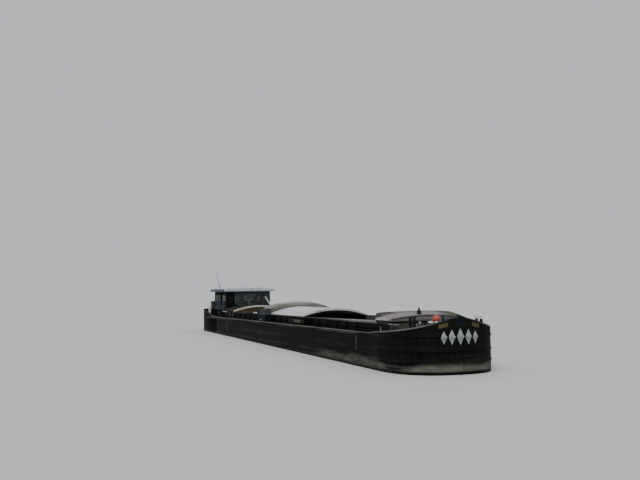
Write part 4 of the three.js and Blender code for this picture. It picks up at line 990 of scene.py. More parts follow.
# a grab rail along the eaves at the cabin's aft end, and a batten left lying on the coaming
eaves = Shape()
for side in (-1, 1):
    y = side * (COAMING_Y + 0.045)
    eaves.bar((-12.85, y, GRAB_RAIL_Z), (-11.62, y, GRAB_RAIL_Z), 0.020, 10)
    for x in (-12.75, -12.23, -11.72):
        eaves.bar((x, y, GRAB_RAIL_Z), (x, side * COAMING_FACE, GRAB_RAIL_Z), 0.011, 8)
eaves.piece("cabin_grab_rails", white_gloss, "white_plastic", smooth=45)
batten = Shape().box(-4.65, -3.55, -COAMING_Y - 0.045, -COAMING_Y + 0.015, COAMING_TOP + 0.001,
                     COAMING_TOP + 0.052)
batten.box(box_low.x + 0.76, box_low.x + 0.85, box_low.y - 0.012, box_low.y - 0.001, 2.71, 2.77)
batten.piece("coaming_batten", white_gloss, "white_plastic", 0.003)

# Wheelhouse
# A glazed box behind the cabin: a dark blue-green front, black sides banded with blue and grey, sliding
# doors painted to match, and a white roof with a deep fascia. Its back and side panes are smoked.
HOUSE_FRONT = -12.86
HOUSE_AFT = -16.45
HOUSE_Y = 1.75
FRONT_PANES = [(-1.66, -1.20), (-1.10, -0.56), (-0.46, 0.46), (0.56, 1.10), (1.20, 1.66)]
BACK_PANES = [(-1.60, -0.64), (-0.48, 0.48), (0.64, 1.60)]
FRONT_SILL, FRONT_HEAD = 3.53, 4.20
SIDE_SILL, SIDE_HEAD = 3.79, 4.24
DOOR_AFT, DOOR_FORE = -15.25, -14.45
POST = 0.09
GRIP = [(0, 3.40), (0.035, 3.42), (0.035, 3.56), (0, 3.58)]
ROOF_EDGE = 4.70
ROOF_RISE = 0.09
SIDE_PANES = [(HOUSE_AFT + 0.20, DOOR_AFT - POST), (DOOR_FORE + POST, HOUSE_FRONT - 0.20)]
HOUSE_CORNER = 1.665
STARBOARD_END = -1.10
BLUE_BAND = (3.48, 3.78)
BAND_BLUE = (0.012, 0.015, 0.033)
GREY_BAND = (3.12, 3.46)
BAND_END = -13.43

house_low, house_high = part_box("wheelhouse_roof")
front_paint = Finish("wheelhouse_front_paint", (0.046, 0.056, 0.057), 0.55, gloss=0.05)
front_paint.patches((0.013, 0.017, 0.0175), 0.6, 0.5, 0.4, 0.4, 0.7)
under_sill = front_paint.axis("Z").between(FRONT_SILL - 0.02, FRONT_SILL - 0.06)
front_paint.coat(under_sill, (0.01, 0.0115, 0.012), 0.5)
away = front_paint.axis("Y")
corner = abs(away).between(HOUSE_CORNER, HOUSE_CORNER + 0.01)
front_paint.coat(corner, (0.006, 0.0068, 0.0070), 0.5)
front_paint.coat(away.between(STARBOARD_END + 0.02, STARBOARD_END - 0.02), (0.004, 0.0048, 0.0048), 0.5)
front_paint.patches(DULL_RUST, 0.7, 0.4, 0.07, 0.62, 0.72, (1, 1, 5), 4, 3.0)
paint(front_paint, "wheelhouse_front")

side_paint = Finish("wheelhouse_side_paint", (0.0045, 0.0055, 0.0058), 0.6, gloss=DULL)
height, along = side_paint.axis("Z"), side_paint.axis("X")
side_paint.patches((0.0095, 0.0105, 0.011), 0.6, 0.5, 0.35, 0.45, 0.7, detail=5)
banded = along.between(BAND_END + 0.02, BAND_END - 0.02)
side_paint.coat(banded * height.band(*BLUE_BAND), BAND_BLUE, 0.5)
grey = banded * height.band(*GREY_BAND)
side_paint.coat(grey, (0.050, 0.055, 0.058), 0.55)
side_paint.coat(grey * side_paint.noise(0.3, 0.4, 0.65, shift=7.0) * 0.6, (0.026, 0.029, 0.031), 0.6)
side_paint.patches(DULL_RUST, 0.75, 0.4, 0.06, 0.6, 0.72, (1, 1, 6), 4, 3.0)
paint(side_paint, "wheelhouse_side_starboard", "wheelhouse_side_port", "wheelhouse_back")

roof_paint = Finish("wheelhouse_roof_paint", (0.56, 0.56, 0.60), 0.5, gloss=0.3)
roof_paint.patches((0.42, 0.42, 0.43), 0.65, 0.5, 0.6, 0.4, 0.65, detail=5)
roof_paint.patches((0.22, 0.23, 0.19), 0.85, 0.5, 0.2, 0.55, 0.7, detail=5, shift=6.0)
height = roof_paint.axis("Z")
fascia_face = height.band(house_low.z + 0.012, ROOF_EDGE + 0.02, 0.004)
roof_paint.coat(fascia_face * height.between(4.63, 4.56), (0.27, 0.275, 0.35), 0.6)
roof_paint.coat(fascia_face * roof_paint.axis("Y").between(-1.94, -1.97), (0.085, 0.09, 0.125), 0.6)
drips = roof_paint.noise(0.08, 0.58, 0.7, (1, 1, 5), 4, 1.0) * 0.6
roof_paint.coat(fascia_face * drips, (0.16, 0.15, 0.13), 0.7)
# painted shade: the underside of the roof's overhang is made near black
roof_paint.coat(height.between(house_low.z + 0.016, house_low.z + 0.006), (0.016, 0.02, 0.021), 0.7)
smooth_copy("wheelhouse_roof", "wheelhouse_roof_deck", roof_paint, 25)

paint(side_paint, "door_starboard", "door_port")
paint(varnish, "helm_desk", "steering_wheel")
floor_boards = Finish("wheelhouse_floor_boards", (0.13, 0.075, 0.04), 0.5)
floor_boards.patches((0.075, 0.04, 0.022), 0.6, 1, 0.03, 0.35, 0.7, (16, 1, 1), 5)
floor_boards.coat(floor_boards.lines("Y", 0.12, 0.006), (0.012, 0.008, 0.006), 0.8)
paint(floor_boards, "wheelhouse_floor")

house_frames, side_frames, house_panes, smoked_panes = (Shape() for _ in range(4))
for pane in FRONT_PANES:
    # the pane over the starboard cabinet is smoked, the others are clear
    panes = smoked_panes if pane[1] < STARBOARD_END else house_panes
    framed_window(house_frames, panes, (*pane, FRONT_SILL, FRONT_HEAD), HOUSE_FRONT, "Y", 0.028, 0.016)
for pane in BACK_PANES:
    framed_window(house_frames, smoked_panes, (*pane, SIDE_SILL, SIDE_HEAD), HOUSE_AFT, "Y", 0.028, -0.016)
house_frames.piece("wheelhouse_end_frames", front_paint, "house_dark", 0.003)
for side in (-1, 1):
    for pane in SIDE_PANES:
        # the frames are thin, so that the doors slide past them
        opening = (*pane, SIDE_SILL, SIDE_HEAD)
        framed_window(side_frames, smoked_panes, opening, side * HOUSE_Y, "X", 0.030, side * 0.003)
side_frames.piece("wheelhouse_side_frames", side_paint, "house_dark")
house_panes.piece("wheelhouse_front_panes", glass, "house_pale")
smoked_panes.piece("wheelhouse_smoked_panes", smoked_glass, "house_pale")

brass = Finish("door_grip_brass", (0.42, 0.29, 0.10), 0.3, 1.0)
brass.patches((0.25, 0.17, 0.07), 0.5, 1, 0.03, 0.4, 0.7)
for side, name, body in ((-1, "starboard", "door_s"), (1, "port", "door_p")):
    low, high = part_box(f"door_{name}")
    face = low.y if side < 0 else high.y
    panels, pane, grip = Shape(), Shape(), Shape()
    x0, x1 = DOOR_AFT + POST, DOOR_FORE - POST
    framed_window(panels, pane, (x0, x1, SIDE_SILL, SIDE_HEAD), face, "X", 0.022, side * 0.006, 0.016)
    outer = (face - side * 0.002, face + side * 0.008)
    for z0, z1 in ((low.z + 0.14, low.z + 0.52), (low.z + 0.62, SIDE_SILL - 0.12)):
        # a raised field inside a moulding on each door panel
        for a, b, c, d in (
            (x0 + 0.02, x1 - 0.02, z0, z0 + 0.025), (x0 + 0.02, x1 - 0.02, z1 - 0.025, z1),
            (x0 + 0.02, x0 + 0.045, z0, z1), (x1 - 0.045, x1 - 0.02, z0, z1),
        ):
            panels.box(a, b, *outer, c, d)
        panels.box(x0 + 0.09, x1 - 0.09, face - side * 0.002, face + side * 0.004, z0 + 0.07, z1 - 0.07)
    panels.piece(f"door_panels_{name}", side_paint, "house_dark", 0.002, body=body)
    pane.piece(f"door_pane_{name}", smoked_glass, "house_pale", body=body)
    grip.pipe([(x1 + 0.03, face + side * out, z) for out, z in GRIP], 0.009, 8)
    grip.piece(f"door_grip_{name}", brass, "bronze", smooth=50, body=body)

# Roof edge
# Two thin drip rails run round the wheelhouse roof, under and over its fascia. On the roof stand the light
# box, three lamps, a hand rail along each side and the folding aerial mast.
DRIP_RAILS = [(4.515, 4.535), (4.668, 4.695)]
DRIP_OUT = 0.004
ROOF_LAMPS = [(-13.2, -1.55), (-13.2, 1.3), (-14.9, 0.9)]
HAND_RAIL_Y = 1.86
HAND_RAIL_LIFT = 0.07

out = DRIP_OUT
roof_edge = Shape()
for z0, z1 in DRIP_RAILS:
    for x0, x1, y0, y1 in (
        (house_low.x - out, house_high.x + out, house_low.y - out, house_low.y + 0.02),
        (house_low.x - out, house_high.x + out, house_high.y - 0.02, house_high.y + out),
        (house_low.x - out, house_low.x + 0.02, house_low.y, house_high.y),
        (house_high.x - 0.02, house_high.x + out, house_low.y, house_high.y),
    ):
        roof_edge.box(x0, x1, y0, y1, z0, z1)
roof_edge.piece("wheelhouse_drip_rail", roof_paint, "roof_white", 0.002)

lamp_glass = Finish("lamp_glass", (0.85, 0.86, 0.84), 0.08)
lamp_glass.patches((0.7, 0.72, 0.72), 0.15, 1, 0.02, 0.4, 0.7)
paint(white_gloss, "roof_light_box", "roof_vent", "stern_vent")
aerial_grey = Finish("aerial_grey_paint", (0.14, 0.145, 0.16), 0.5, gloss=0.3)
aerial_grey.patches((0.1, 0.105, 0.115), 0.6, 1, 0.08, 0.4, 0.7, (1, 1, 3), 4)
paint(aerial_grey, "aerial_mast")
light_low, light_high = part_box("roof_light_box")
lights = Shape()
for y in (light_low.y + 0.15, light_high.y - 0.15):
    lights.bar(*((light_high.x - back, y, light_high.z - 0.1) for back in (0.052, 0.03)), 0.07, 20)
lights.piece("roof_light_lenses", lamp_glass, "white_plastic", smooth=40)
roof_gear = Shape()
for x, y in ROOF_LAMPS:
    z = ROOF_EDGE + arch(y, house_high.y, ROOF_RISE)
    roof_gear.bar((x, y, z - 0.01), (x, y, z + 0.05), 0.035, 12)
    roof_gear.bar((x - 0.05, y, z + 0.10), (x + 0.09, y, z + 0.10), 0.075, 16, 0.095)
    roof_gear.bar((x, y, z + 0.03), (x, y, z + 0.06), 0.02, 8)
roof_gear.piece("roof_lamps", white_gloss, "white_plastic", smooth=40)
rails = Shape()
for y in (-HAND_RAIL_Y, HAND_RAIL_Y):
    z = ROOF_EDGE + arch(y, house_high.y, ROOF_RISE)
    rails.bar((-16.3, y, z + HAND_RAIL_LIFT), (-15.3, y, z + HAND_RAIL_LIFT), 0.014)
    for x in (-16.2, -15.8, -15.4):
        rails.bar((x, y, z - 0.01), (x, y, z + HAND_RAIL_LIFT), 0.010, 8)
galvanised = Finish("galvanised_steel", (0.36, 0.37, 0.38), 0.4, 0.8)
galvanised.patches((0.22, 0.22, 0.22), 0.55, 1, 0.05, 0.4, 0.65, detail=5)
galvanised.patches(RUST, 0.85, 0.7, 0.03, 0.6, 0.7, shift=2.0)
rails.piece("roof_hand_rails", galvanised, "steel", smooth=40)

# Inside the wheelhouse
# What shows through the panes: a dark cabinet at the starboard corner, painted boards beside it and at the
# port side, a red-brown chart shelf with small boxes, and gauges. A raked white bar stands outside.
SHELF_TOP = 3.525
RAKED_BAR = [(-12.79, 1.34, 4.08), (-12.79, 1.73, 3.48)]
GAUGE_X, GAUGE_Z = -13.33, 3.372
GAUGE_PLACES = (-0.55, -0.42, -0.29, 0.29, 0.42, 0.55)
DESK_SLOPE = Vector((-0.37, 0, 0.93)).normalized()

cabinet_paint = Finish("cabinet_laminate", (0.006, 0.0058, 0.0055), 0.5, gloss=0.1)
cabinet_paint.patches((0.009, 0.0085, 0.008), 0.6, 1, 0.03, 0.4, 0.7, (1, 1, 16), 4)
cabinet = Shape().box(-13.45, -13.0, -1.66, -1.13, 2.36, 4.36)
for z0, z1 in ((2.50, 3.30), (3.38, 4.26)):
    cabinet.box(-13.46, -13.452, -1.60, -1.19, z0, z1)
cabinet.piece("corner_cabinet", cabinet_paint, "varnished_wood", 0.004)
teal_board = Finish("teal_board_paint", (0.060, 0.080, 0.078), 0.6, gloss=0.2)
teal_board.patches((0.045, 0.06, 0.059), 0.7, 1, 0.03, 0.35, 0.65, (1, 6, 40), 3)
boards = Shape()
for y0, y1, low_end in ((-1.12, -0.72, 3.55), (1.46, 1.64, 3.60)):
    boards.box(-12.985, -12.965, y0, y1, low_end, 4.24)
    for y in (y0 + 0.03, y1 - 0.03):
        boards.box(-12.965, -12.957, y - 0.02, y + 0.02, low_end + 0.02, 4.22)
boards.piece("wheelhouse_front_boards", teal_board, "house_pale", 0.002)
shelf = Shape().box(-13.12, -12.93, -1.10, 1.68, 3.50, SHELF_TOP)
for y0, y1, x0, z1 in (
    (-0.66, -0.52, -13.10, 3.94), (-0.44, -0.40, -13.08, 4.12),
    (0.52, 0.60, -13.08, 4.16), (1.08, 1.14, -13.06, 4.16),
):
    shelf.box(x0, x0 + 0.12, y0, y1, SHELF_TOP, z1)
shelf_wood = Finish("chart_shelf_wood", (0.075, 0.028, 0.016), 0.5, gloss=0.2)
shelf_wood.patches((0.045, 0.017, 0.011), 0.6, 1, 0.022, 0.35, 0.7, (1, 22, 1), 6)
shelf.piece("chart_shelf", shelf_wood, "varnished_wood", 0.004)
radio = Shape().box(-13.12, -12.98, 0.02, 0.20, 3.53, 3.86).box(-13.12, -12.98, 0.22, 0.40, 3.53, 3.60)
radio.piece("chart_shelf_boxes", aerial_grey, "white_plastic", 0.006)
raked_bar = Shape().bar(*RAKED_BAR, 0.050, 14)
for share in (0.04, 0.96):
    place = Vector(RAKED_BAR[0]).lerp(Vector(RAKED_BAR[1]), share)
    raked_bar.bar(place, (HOUSE_FRONT, place.y, place.z), 0.020, 10)
raked_bar.piece("raked_grab_bar", white_gloss, "white_plastic", smooth=50)
gauges, faces = Shape(), Shape()
for y in GAUGE_PLACES:
    centre = Vector((GAUGE_X, y, GAUGE_Z))
    gauges.bar(centre, centre + DESK_SLOPE * 0.018, 0.052, 20)
    faces.bar(centre + DESK_SLOPE * 0.0185, centre + DESK_SLOPE * 0.0195, 0.044, 20)
gauges.piece("desk_gauge_rims", galvanised, "steel", smooth=40)
faces.piece("desk_gauge_faces", white_gloss, "white_plastic")
levers = Shape()
for y in (-0.12, 0.12):
    levers.bar((-13.30, y, 3.36), (-13.36, y, 3.58), 0.010, 8)
    levers.sphere((-13.36, y, 3.60), 0.028, 12)
levers.piece("desk_levers", dark_rubber_and_shade, "steel", smooth=60)

# Helm seat
# A padded seat and back in worn black leather, on a steel pedestal with a round foot. The pads' faces swell
# and their sides draw in between the corners.
PEDESTAL_X = -14.84
seat_low, seat_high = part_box("helm_seat")
leather = Finish("helm_seat_leather", (0.022, 0.018, 0.016), 0.45)
leather.patches((0.045, 0.036, 0.03), 0.6, 1, 0.15, 0.4, 0.7)
leather.grain(0.0008, 0.006, 0.3, 0.7, detail=3)


def rim(grid):
    """The points round the edge of a square grid."""
    last = len(grid) - 1
    there = [grid[i][0] for i in range(last)] + [grid[last][j] for j in range(last)]
    return there + [grid[i][last] for i in range(last, 0, -1)] + [grid[0][j] for j in range(last, 0, -1)]


def cushion(name, centre, size, crown):
    """A stuffed pad: a rounded block whose faces swell and whose sides pull in between the corners."""
    steps = 14
    half = Vector(size) / 2
    thin = min(range(3), key=lambda axis: size[axis])
    wide = [axis for axis in range(3) if axis != thin]
    skins = []
    for end in (-1, 1):
        grid = []
        for i in range(steps + 1):
            row = []
            for j in range(steps + 1):
                u, v = 2 * i / steps - 1, 2 * j / steps - 1
                point = Vector((0, 0, 0))
                pull = 1 - 0.035 * (1 - u * u) * (abs(v) ** 6) - 0.035 * (1 - v * v) * (abs(u) ** 6)
                point[wide[0]] = half[wide[0]] * u * pull
                point[wide[1]] = half[wide[1]] * v * pull
                swell = (1 - u ** 6) * (1 - v ** 6)
                dome = crown * (1 - u * u) * (1 - v * v)
                point[thin] = end * (half[thin] * (0.55 + 0.45 * swell ** 0.4) + dome)
                row.append(Vector(centre) + point)
            grid.append(row)
        skins.append(grid)
    shape = Shape()
    for grid in skins:
        shape.loft(grid, closed=False, capped=False)
    shape.loft([rim(grid) for grid in skins], capped=False)
    item = shape.piece(name, leather, "seat_cover", smooth=70)
    return item


seat_x = (seat_low.x + 0.08 + seat_high.x) / 2
cushion("helm_seat_pad", (seat_x + 0.01, 0, 3.035), (0.40, 0.50, 0.085), 0.008)
cushion("helm_seat_back", (seat_low.x + 0.045, 0, 3.33), (0.07, 0.48, 0.50), 0.008)
pedestal = Shape()
for z0, z1, radius, sides in ((2.3405, 2.375, 0.215, 28), (2.37, 2.95, 0.045, 20), (2.95, 2.99, 0.12, 20)):
    pedestal.bar((PEDESTAL_X, 0, z0), (PEDESTAL_X, 0, z1), radius, sides)
for y in (-0.16, 0.16):
    pedestal.bar((seat_low.x + 0.09, y, 3.0), (seat_low.x + 0.05, y, 3.16), 0.014)
pedestal.box(seat_low.x + 0.07, -14.66, -0.18, 0.18, 2.975, 2.992)
stand = pedestal.piece("helm_seat_pedestal", galvanised, "steel", 0.003, 40)
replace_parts(stand, "helm_seat")

# Foredeck gear
# Mooring bitts, a chain windlass, a small hatch with a hinged lid and a store locker, in black paint over
# scale. The port bitts have white heads. Small white ventilators and rubbing bars stand to starboard.
FORE_DECK_LOW = 2.558
FORE_DECK_RISE = 0.26
BITTS = [("bow_port", 18.0, 1.65), ("bow_starboard", 18.0, -1.65),
         ("stern_port", -18.15, 1.45), ("stern_starboard", -18.15, -1.45)]
BITT_APART = 0.19
ROPE_STAND = (16.0, -2.22)


def fore_deck(x):
    """Height of the foredeck, which rises towards the stem."""
    return FORE_DECK_LOW + FORE_DECK_RISE * max(0.0, (x - 15.2) / 4.05) ** 2


gear_paint = Finish("deck_gear_paint", (0.0060, 0.0062, 0.0062), 0.5, gloss=0.15)
gear_paint.patches((0.015, 0.015, 0.014), 0.6, 0.5, 0.12, 0.45, 0.68, detail=5)
gear_paint.patches(DULL_RUST, 0.85, 0.6, 0.05, 0.55, 0.7, detail=5, shift=3.0)
gear_paint.grain(0.001, 0.02, 0.3, 0.7)
worn_white = Finish("worn_white_paint", (0.66, 0.66, 0.64), 0.5)
worn_white.patches((0.22, 0.2, 0.17), 0.7, 0.8, 0.05, 0.5, 0.66, detail=5)
dull_white = Finish("dull_white_paint", (0.24, 0.24, 0.235), 0.6, gloss=0.2)
dull_white.patches((0.12, 0.115, 0.105), 0.7, 0.7, 0.04, 0.45, 0.66, detail=5)
paint(gear_paint, *(f"bitts_{name}" for name, _, _ in BITTS), "windlass_bed", "fore_hatch_frame",
      "fore_locker", "light_post")
paint(galvanised, "windlass_drum")
hatch_paint = Finish("fore_hatch_paint", (0.022, 0.021, 0.020), 0.6, gloss=0.2)
hatch_paint.patches((0.04, 0.037, 0.031), 0.8, 1, 0.2, 0.4, 0.65, detail=5)
hatch_paint.patches(RUST, 0.85, 0.8, 0.1, 0.58, 0.7, detail=5, shift=4.0)
paint(hatch_paint, "fore_hatch_lid")

for name, x, y in BITTS:
    low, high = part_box(f"bitts_{name}")
    caps = Shape()
    for dx in (-BITT_APART, BITT_APART):
        rings = []
        for angle in circle(16)[:5]:
            r = 0.085 * math.cos(angle) + 0.002
            z = high.z + 0.001 + 0.020 * math.sin(angle)
            rings.append([(x + dx + r * math.cos(a), y + r * math.sin(a), z) for a in circle(20)])
        caps.loft(rings)
    if name == "bow_port":
        # its heads are painted white well down the posts
        for dx in (-BITT_APART, BITT_APART):
            caps.bar((x + dx, y, high.z - 0.13), (x + dx, y, high.z + 0.0012), 0.0895, 24)
    heads = worn_white if name == "bow_port" else gear_paint
    caps.piece(f"bitt_caps_{name}", heads, "hull_paint", smooth=40)
    z = high.z - 0.10 - (0.16 if name.startswith("bow") else 0.08)
    bar = Shape().bar((x - BITT_APART - 0.13, y, z), (x + BITT_APART + 0.13, y, z), 0.028, 14)
    bar.piece(f"bitt_bar_{name}", gear_paint, "hull_paint", smooth=40)

hatch_low, hatch_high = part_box("fore_hatch_lid")
lid_gear = Shape()
z = hatch_high.z
for y in (hatch_low.y + 0.15, hatch_high.y - 0.15):
    lid_gear.box(hatch_low.x + 0.01, hatch_low.x + 0.13, y - 0.03, y + 0.03, z, z + 0.008)
grip_y = (hatch_low.y + hatch_high.y) / 2
x = hatch_high.x - 0.10
lid_gear.pipe([(x, grip_y + out, z + lift) for out, lift in (
    (-0.09, 0), (-0.09, 0.04), (0.09, 0.04), (0.09, 0))], 0.008, 8)
for i in range(5):
    x = hatch_low.x + 0.18 + i * 0.08
    lid_gear.box(x, x + 0.012, hatch_low.y + 0.08, hatch_high.y - 0.08, z, z + 0.004)
lid_gear.piece("fore_hatch_lid_gear", gear_paint, "hull_paint", 0.002, body="hatch_lid")

drum_low, drum_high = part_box("windlass_drum")
axle_x = (drum_low.x + drum_high.x) / 2
axle_z = (drum_low.z + drum_high.z) / 2
TOOTH = [(-1, -1), (1, -1), (0.6, 1), (-0.6, 1)]
BRAKE_WHEEL = 0.11
teeth = Shape()
for side in (-1, 1):
    for angle in circle(18):
        out = Vector((math.cos(angle), 0, math.sin(angle)))
        tangent = Vector((-math.sin(angle), 0, math.cos(angle)))
        centre = Vector((axle_x, side * 0.335, axle_z)) + out * 0.118
        teeth.slab([centre + tangent * a * 0.012 + out * b * 0.012 for a, b in TOOTH], 0.03, (0, 1, 0))
for i in range(9):
    y = -0.27 + i * 0.0675
    ring = [(axle_x + 0.116 * math.cos(a), y, axle_z + 0.116 * math.sin(a)) for a in circle(24)]
    teeth.pipe(ring, 0.014, 6, closed=True)
teeth.piece("windlass_chain_and_teeth", galvanised, "steel", smooth=40, body="winch_drum")
brake_x, brake_z = axle_x - 0.27, axle_z + 0.36
brake = Shape()
brake.box(axle_x - 0.30, axle_x - 0.24, -0.03, 0.03, fore_deck(axle_x) + 0.05, axle_z + 0.30)
brake.bar((brake_x, 0, axle_z + 0.29), (brake_x, 0, brake_z), 0.012)
brake.pipe([(brake_x + BRAKE_WHEEL * math.cos(a), BRAKE_WHEEL * math.sin(a), brake_z) for a in circle(20)],
           0.010, 6, closed=True)
for angle in (0, math.pi / 2):
    hub, spoke = Vector((brake_x, 0, brake_z)), Vector((math.cos(angle), math.sin(angle), 0)) * BRAKE_WHEEL
    brake.bar(hub - spoke, hub + spoke, 0.007, 6)
brake.piece("windlass_brake", gear_paint, "hull_paint", smooth=40)

locker_low, locker_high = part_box("fore_locker")
locker_lid = Shape()
locker_lid.box(locker_low.x - 0.018, locker_high.x + 0.018, locker_low.y - 0.018, locker_high.y + 0.018,
               locker_high.z - 0.05, locker_high.z - 0.02)
for side in (-1, 1):
    y = side * (locker_high.y + 0.001)
    locker_lid.box(locker_low.x + 0.08, locker_high.x - 0.08, y, y + side * 0.008, 2.75, 2.77)
locker_lid.piece("fore_locker_lid", gear_paint, "hull_paint", 0.003)

vents = Shape()
for x, y, height, radius in ((17.72, -1.32, 0.31, 0.040), (17.33, -0.93, 0.42, 0.050)):
    foot = fore_deck(x)
    vents.bar((x, y, foot), (x, y, foot + height), radius * 0.6, 16)
    vents.bar((x, y, foot + height - 0.01), (x, y, foot + height + 0.05), radius * 1.5, 20, radius * 1.3)
    vents.sphere((x, y, foot + height + 0.05), radius * 1.3, 20, 0.6)
vents.piece("foredeck_ventilators", dull_white, "white_plastic", smooth=45)

# the steel bar along the deck edge: up over the bow, along both sides and up round the counter
SHEER_FOOT = 2.59
SHEER_HEIGHT, SHEER_REACH, SHEER_POWER = 0.76, 2.30, 1.25
SHEER_START, SHEER_EASE = 15.2, 0.8
STEM = BOW_START + BOW_LENGTH
STERN_START, STERN_LENGTH, STERN_POWER = -16.65, 2.565, 2.4
STERN_RISE, STERN_RISE_START, STERN_RISE_LENGTH = 0.52, -13.5, 4.3
EDGE_INSET, EDGE_LIFT, EDGE_RADIUS = 0.012, 0.004, 0.034
RAIL_INSET, RAIL_LIFT, RAIL_RADIUS = 0.035, 0.006, 0.043


def eased(share):
    """Nought to one, with a soft start and a soft end."""
    share = min(1.0, max(0.0, share))
    return share * share * (3 - 2 * share)


def sheer(x, y):
    """Height of the deck edge at a place on the hull's outline."""
    around = (abs(y) ** 1.5 + max(0.0, STEM - x) ** 1.5) ** (1 / 1.5)
    share = math.exp(-(around / SHEER_REACH) ** SHEER_POWER)
    bow = SHEER_HEIGHT * share * eased((x - SHEER_START) / SHEER_EASE)
    return SHEER_FOOT + bow + STERN_RISE * eased((STERN_RISE_START - x) / STERN_RISE_LENGTH)


def end_outline(start, length, power, inset, count=44):
    """Places round one end of the hull, from starboard to port."""
    places = []
    for i in range(-count, count + 1):
        angle = math.pi / 2 * i / count
        out = abs(math.cos(angle)) ** (2 / power)
        aside = math.copysign(abs(math.sin(angle)) ** (2 / power), angle)
        reach = length - math.copysign(inset, length)
        z = sheer(start + length * out, SHELL_Y * aside)
        places.append((start + reach * out, (SHELL_Y - inset) * aside, z))
    return places


def rail_cap(name, start, length, power):
    """The round bar along the top of one end of the hull."""
    places = end_outline(start, length, power, RAIL_INSET)
    cap = Shape().pipe([(x, y, z + RAIL_LIFT) for x, y, z in places], RAIL_RADIUS, 8)
    cap.piece(name, edge_paint, "hull_paint", smooth=45)


edge_paint = Finish("deck_edge_paint", BLACK, 0.55, gloss=DULL)
along = edge_paint.axis("X")
# pale along the deck edge bar and the rail caps: worn paint, and a painted highlight where the sky catches
# the round bar
paleness = 0.45 + edge_paint.noise(0.7, 0.3, 0.6, (4, 4, 2), 4, 2.0) * 0.55
fading = along.between(-17.5, -13.0) * along.between(19.25, 18.8)
edge_paint.coat(paleness * (fading * 0.75), (0.2, 0.203, 0.19), 0.6)
stem_wear = along.between(18.9, 19.15) * edge_paint.noise(0.3, 0.4, 0.6, shift=5.0)
edge_paint.coat(stem_wear * 0.5, (0.06, 0.066, 0.048), 0.6)
rail_cap("bow_rail_cap", BOW_START, BOW_LENGTH, BOW_POWER)
deck_edge = Shape()
for side in (-1, 1):
    y = side * (SHELL_Y - EDGE_INSET)
    places = [STERN_START + (BOW_START - STERN_START) * i / 60 for i in range(61)]
    deck_edge.pipe([(x, y, sheer(x, SHELL_Y) + EDGE_LIFT) for x in places], EDGE_RADIUS, 8)
deck_edge.piece("side_deck_edge_bar", edge_paint, "hull_paint", smooth=45)
bars, legs = Shape(), Shape()
for x in (16.72, 17.30):
    foot = fore_deck(x)
    legs.box(x - 0.18, x + 0.18, -2.10, -2.04, foot, foot + 0.02)
    for end in (-0.15, 0.15):
        legs.box(x + end - 0.015, x + end + 0.015, -2.085, -2.055, foot, 3.00)
    bars.bar((x - 0.21, -2.07, 3.02), (x + 0.21, -2.07, 3.02), 0.022, 12)
bars.piece("foredeck_rubbing_bars", dull_white, "white_plastic", smooth=45)
legs.piece("rubbing_bar_legs", gear_paint, "hull_paint", 0.002)
rope_x, rope_y = ROPE_STAND
stand = Shape()
for end in (-0.09, 0.09):
    stand.bar((rope_x + end, rope_y, fore_deck(rope_x)), (rope_x, rope_y, 2.90), 0.013, 10)
stand.bar((15.95, rope_y, 2.70), (16.05, rope_y, 2.70), 0.010, 8)
stand.piece("foredeck_rope_stand", dull_white, "white_plastic", smooth=45)

# Lifebuoy and ball fender
# A white lifebuoy with four orange straps lies on the locker. Inside it lies an orange ball fender with a
# black moulded eye.
buoy_low, buoy_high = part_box("lifebuoy")
buoy_x, buoy_y = (buoy_low.x + buoy_high.x) / 2, (buoy_low.y + buoy_high.y) / 2
TUBE = 0.068
RING = (buoy_high.x - buoy_low.x) / 2 - TUBE
ring_z = buoy_high.z - TUBE
buoy_paint = Finish("lifebuoy_white", (0.72, 0.71, 0.74), 0.4)
buoy_paint.patches((0.5, 0.48, 0.5), 0.55, 0.5, 0.1, 0.45, 0.7)
orange = Finish("orange_vinyl", (0.44, 0.072, 0.044), 0.45)
orange.patches((0.3, 0.05, 0.034), 0.55, 0.5, 0.12, 0.4, 0.7)
orange.patches((0.15, 0.05, 0.03), 0.6, 0.4, 0.03, 0.6, 0.72, shift=3.0)
shaded = orange.axis("Z").between(buoy_high.z + 0.14, buoy_high.z - 0.06)
orange.coat(shaded * 0.6, (0.13, 0.034, 0.026), 0.6)
buoy, straps = Shape(), Shape()


def ring_point(angle, around, tube):
    """A point of a ring a little flatter than round, never under the locker's top."""
    r = RING + tube * math.cos(around)
    z = ring_z + 0.80 * tube * math.sin(around)
    return (buoy_x + r * math.cos(angle), buoy_y + r * math.sin(angle), max(z, buoy_low.z + 0.0005))


section = circle(18)
buoy.loft([[ring_point(turn, a, TUBE - 0.001) for a in section] for turn in (*circle(56), 2 * math.pi)],
          capped=False)
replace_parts(buoy.piece("lifebuoy_ring", buoy_paint, "white_plastic", smooth=60), "lifebuoy")
for quarter in range(4):
    middle = math.pi / 4 + math.pi / 2 * quarter
    straps.loft([[ring_point(middle + 0.13 * step, a, TUBE + 0.002) for a in section]
                 for step in (-1, -0.5, 0, 0.5, 1)])
straps.piece("lifebuoy_straps", orange, "orange_vinyl", smooth=60)
ball_low, ball_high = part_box("fender_ball")
centre = (ball_low + ball_high) / 2
radius = (ball_high.x - ball_low.x) / 2
ball = Shape()
rings = []
for r in range(25):
    tilt = math.pi * r / 24
    ring = []
    for a in circle(36):
        point = Vector((math.sin(tilt) * math.cos(a), math.sin(tilt) * math.sin(a), -math.cos(tilt)))
        point = point * (radius - 0.001)
        seam = 1 + 0.012 * math.exp(-((point.x / 0.006) ** 2))
        place = Vector((centre.x, centre.y, ball_high.z - radius)) + point * seam
        place.z = max(place.z, ball_low.z + 0.0005)
        ring.append(place)
    rings.append(ring)
ball.loft(rings, capped=False)
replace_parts(ball.piece("ball_fender", orange, "orange_vinyl", smooth=60), "fender_ball")
eye = Shape()
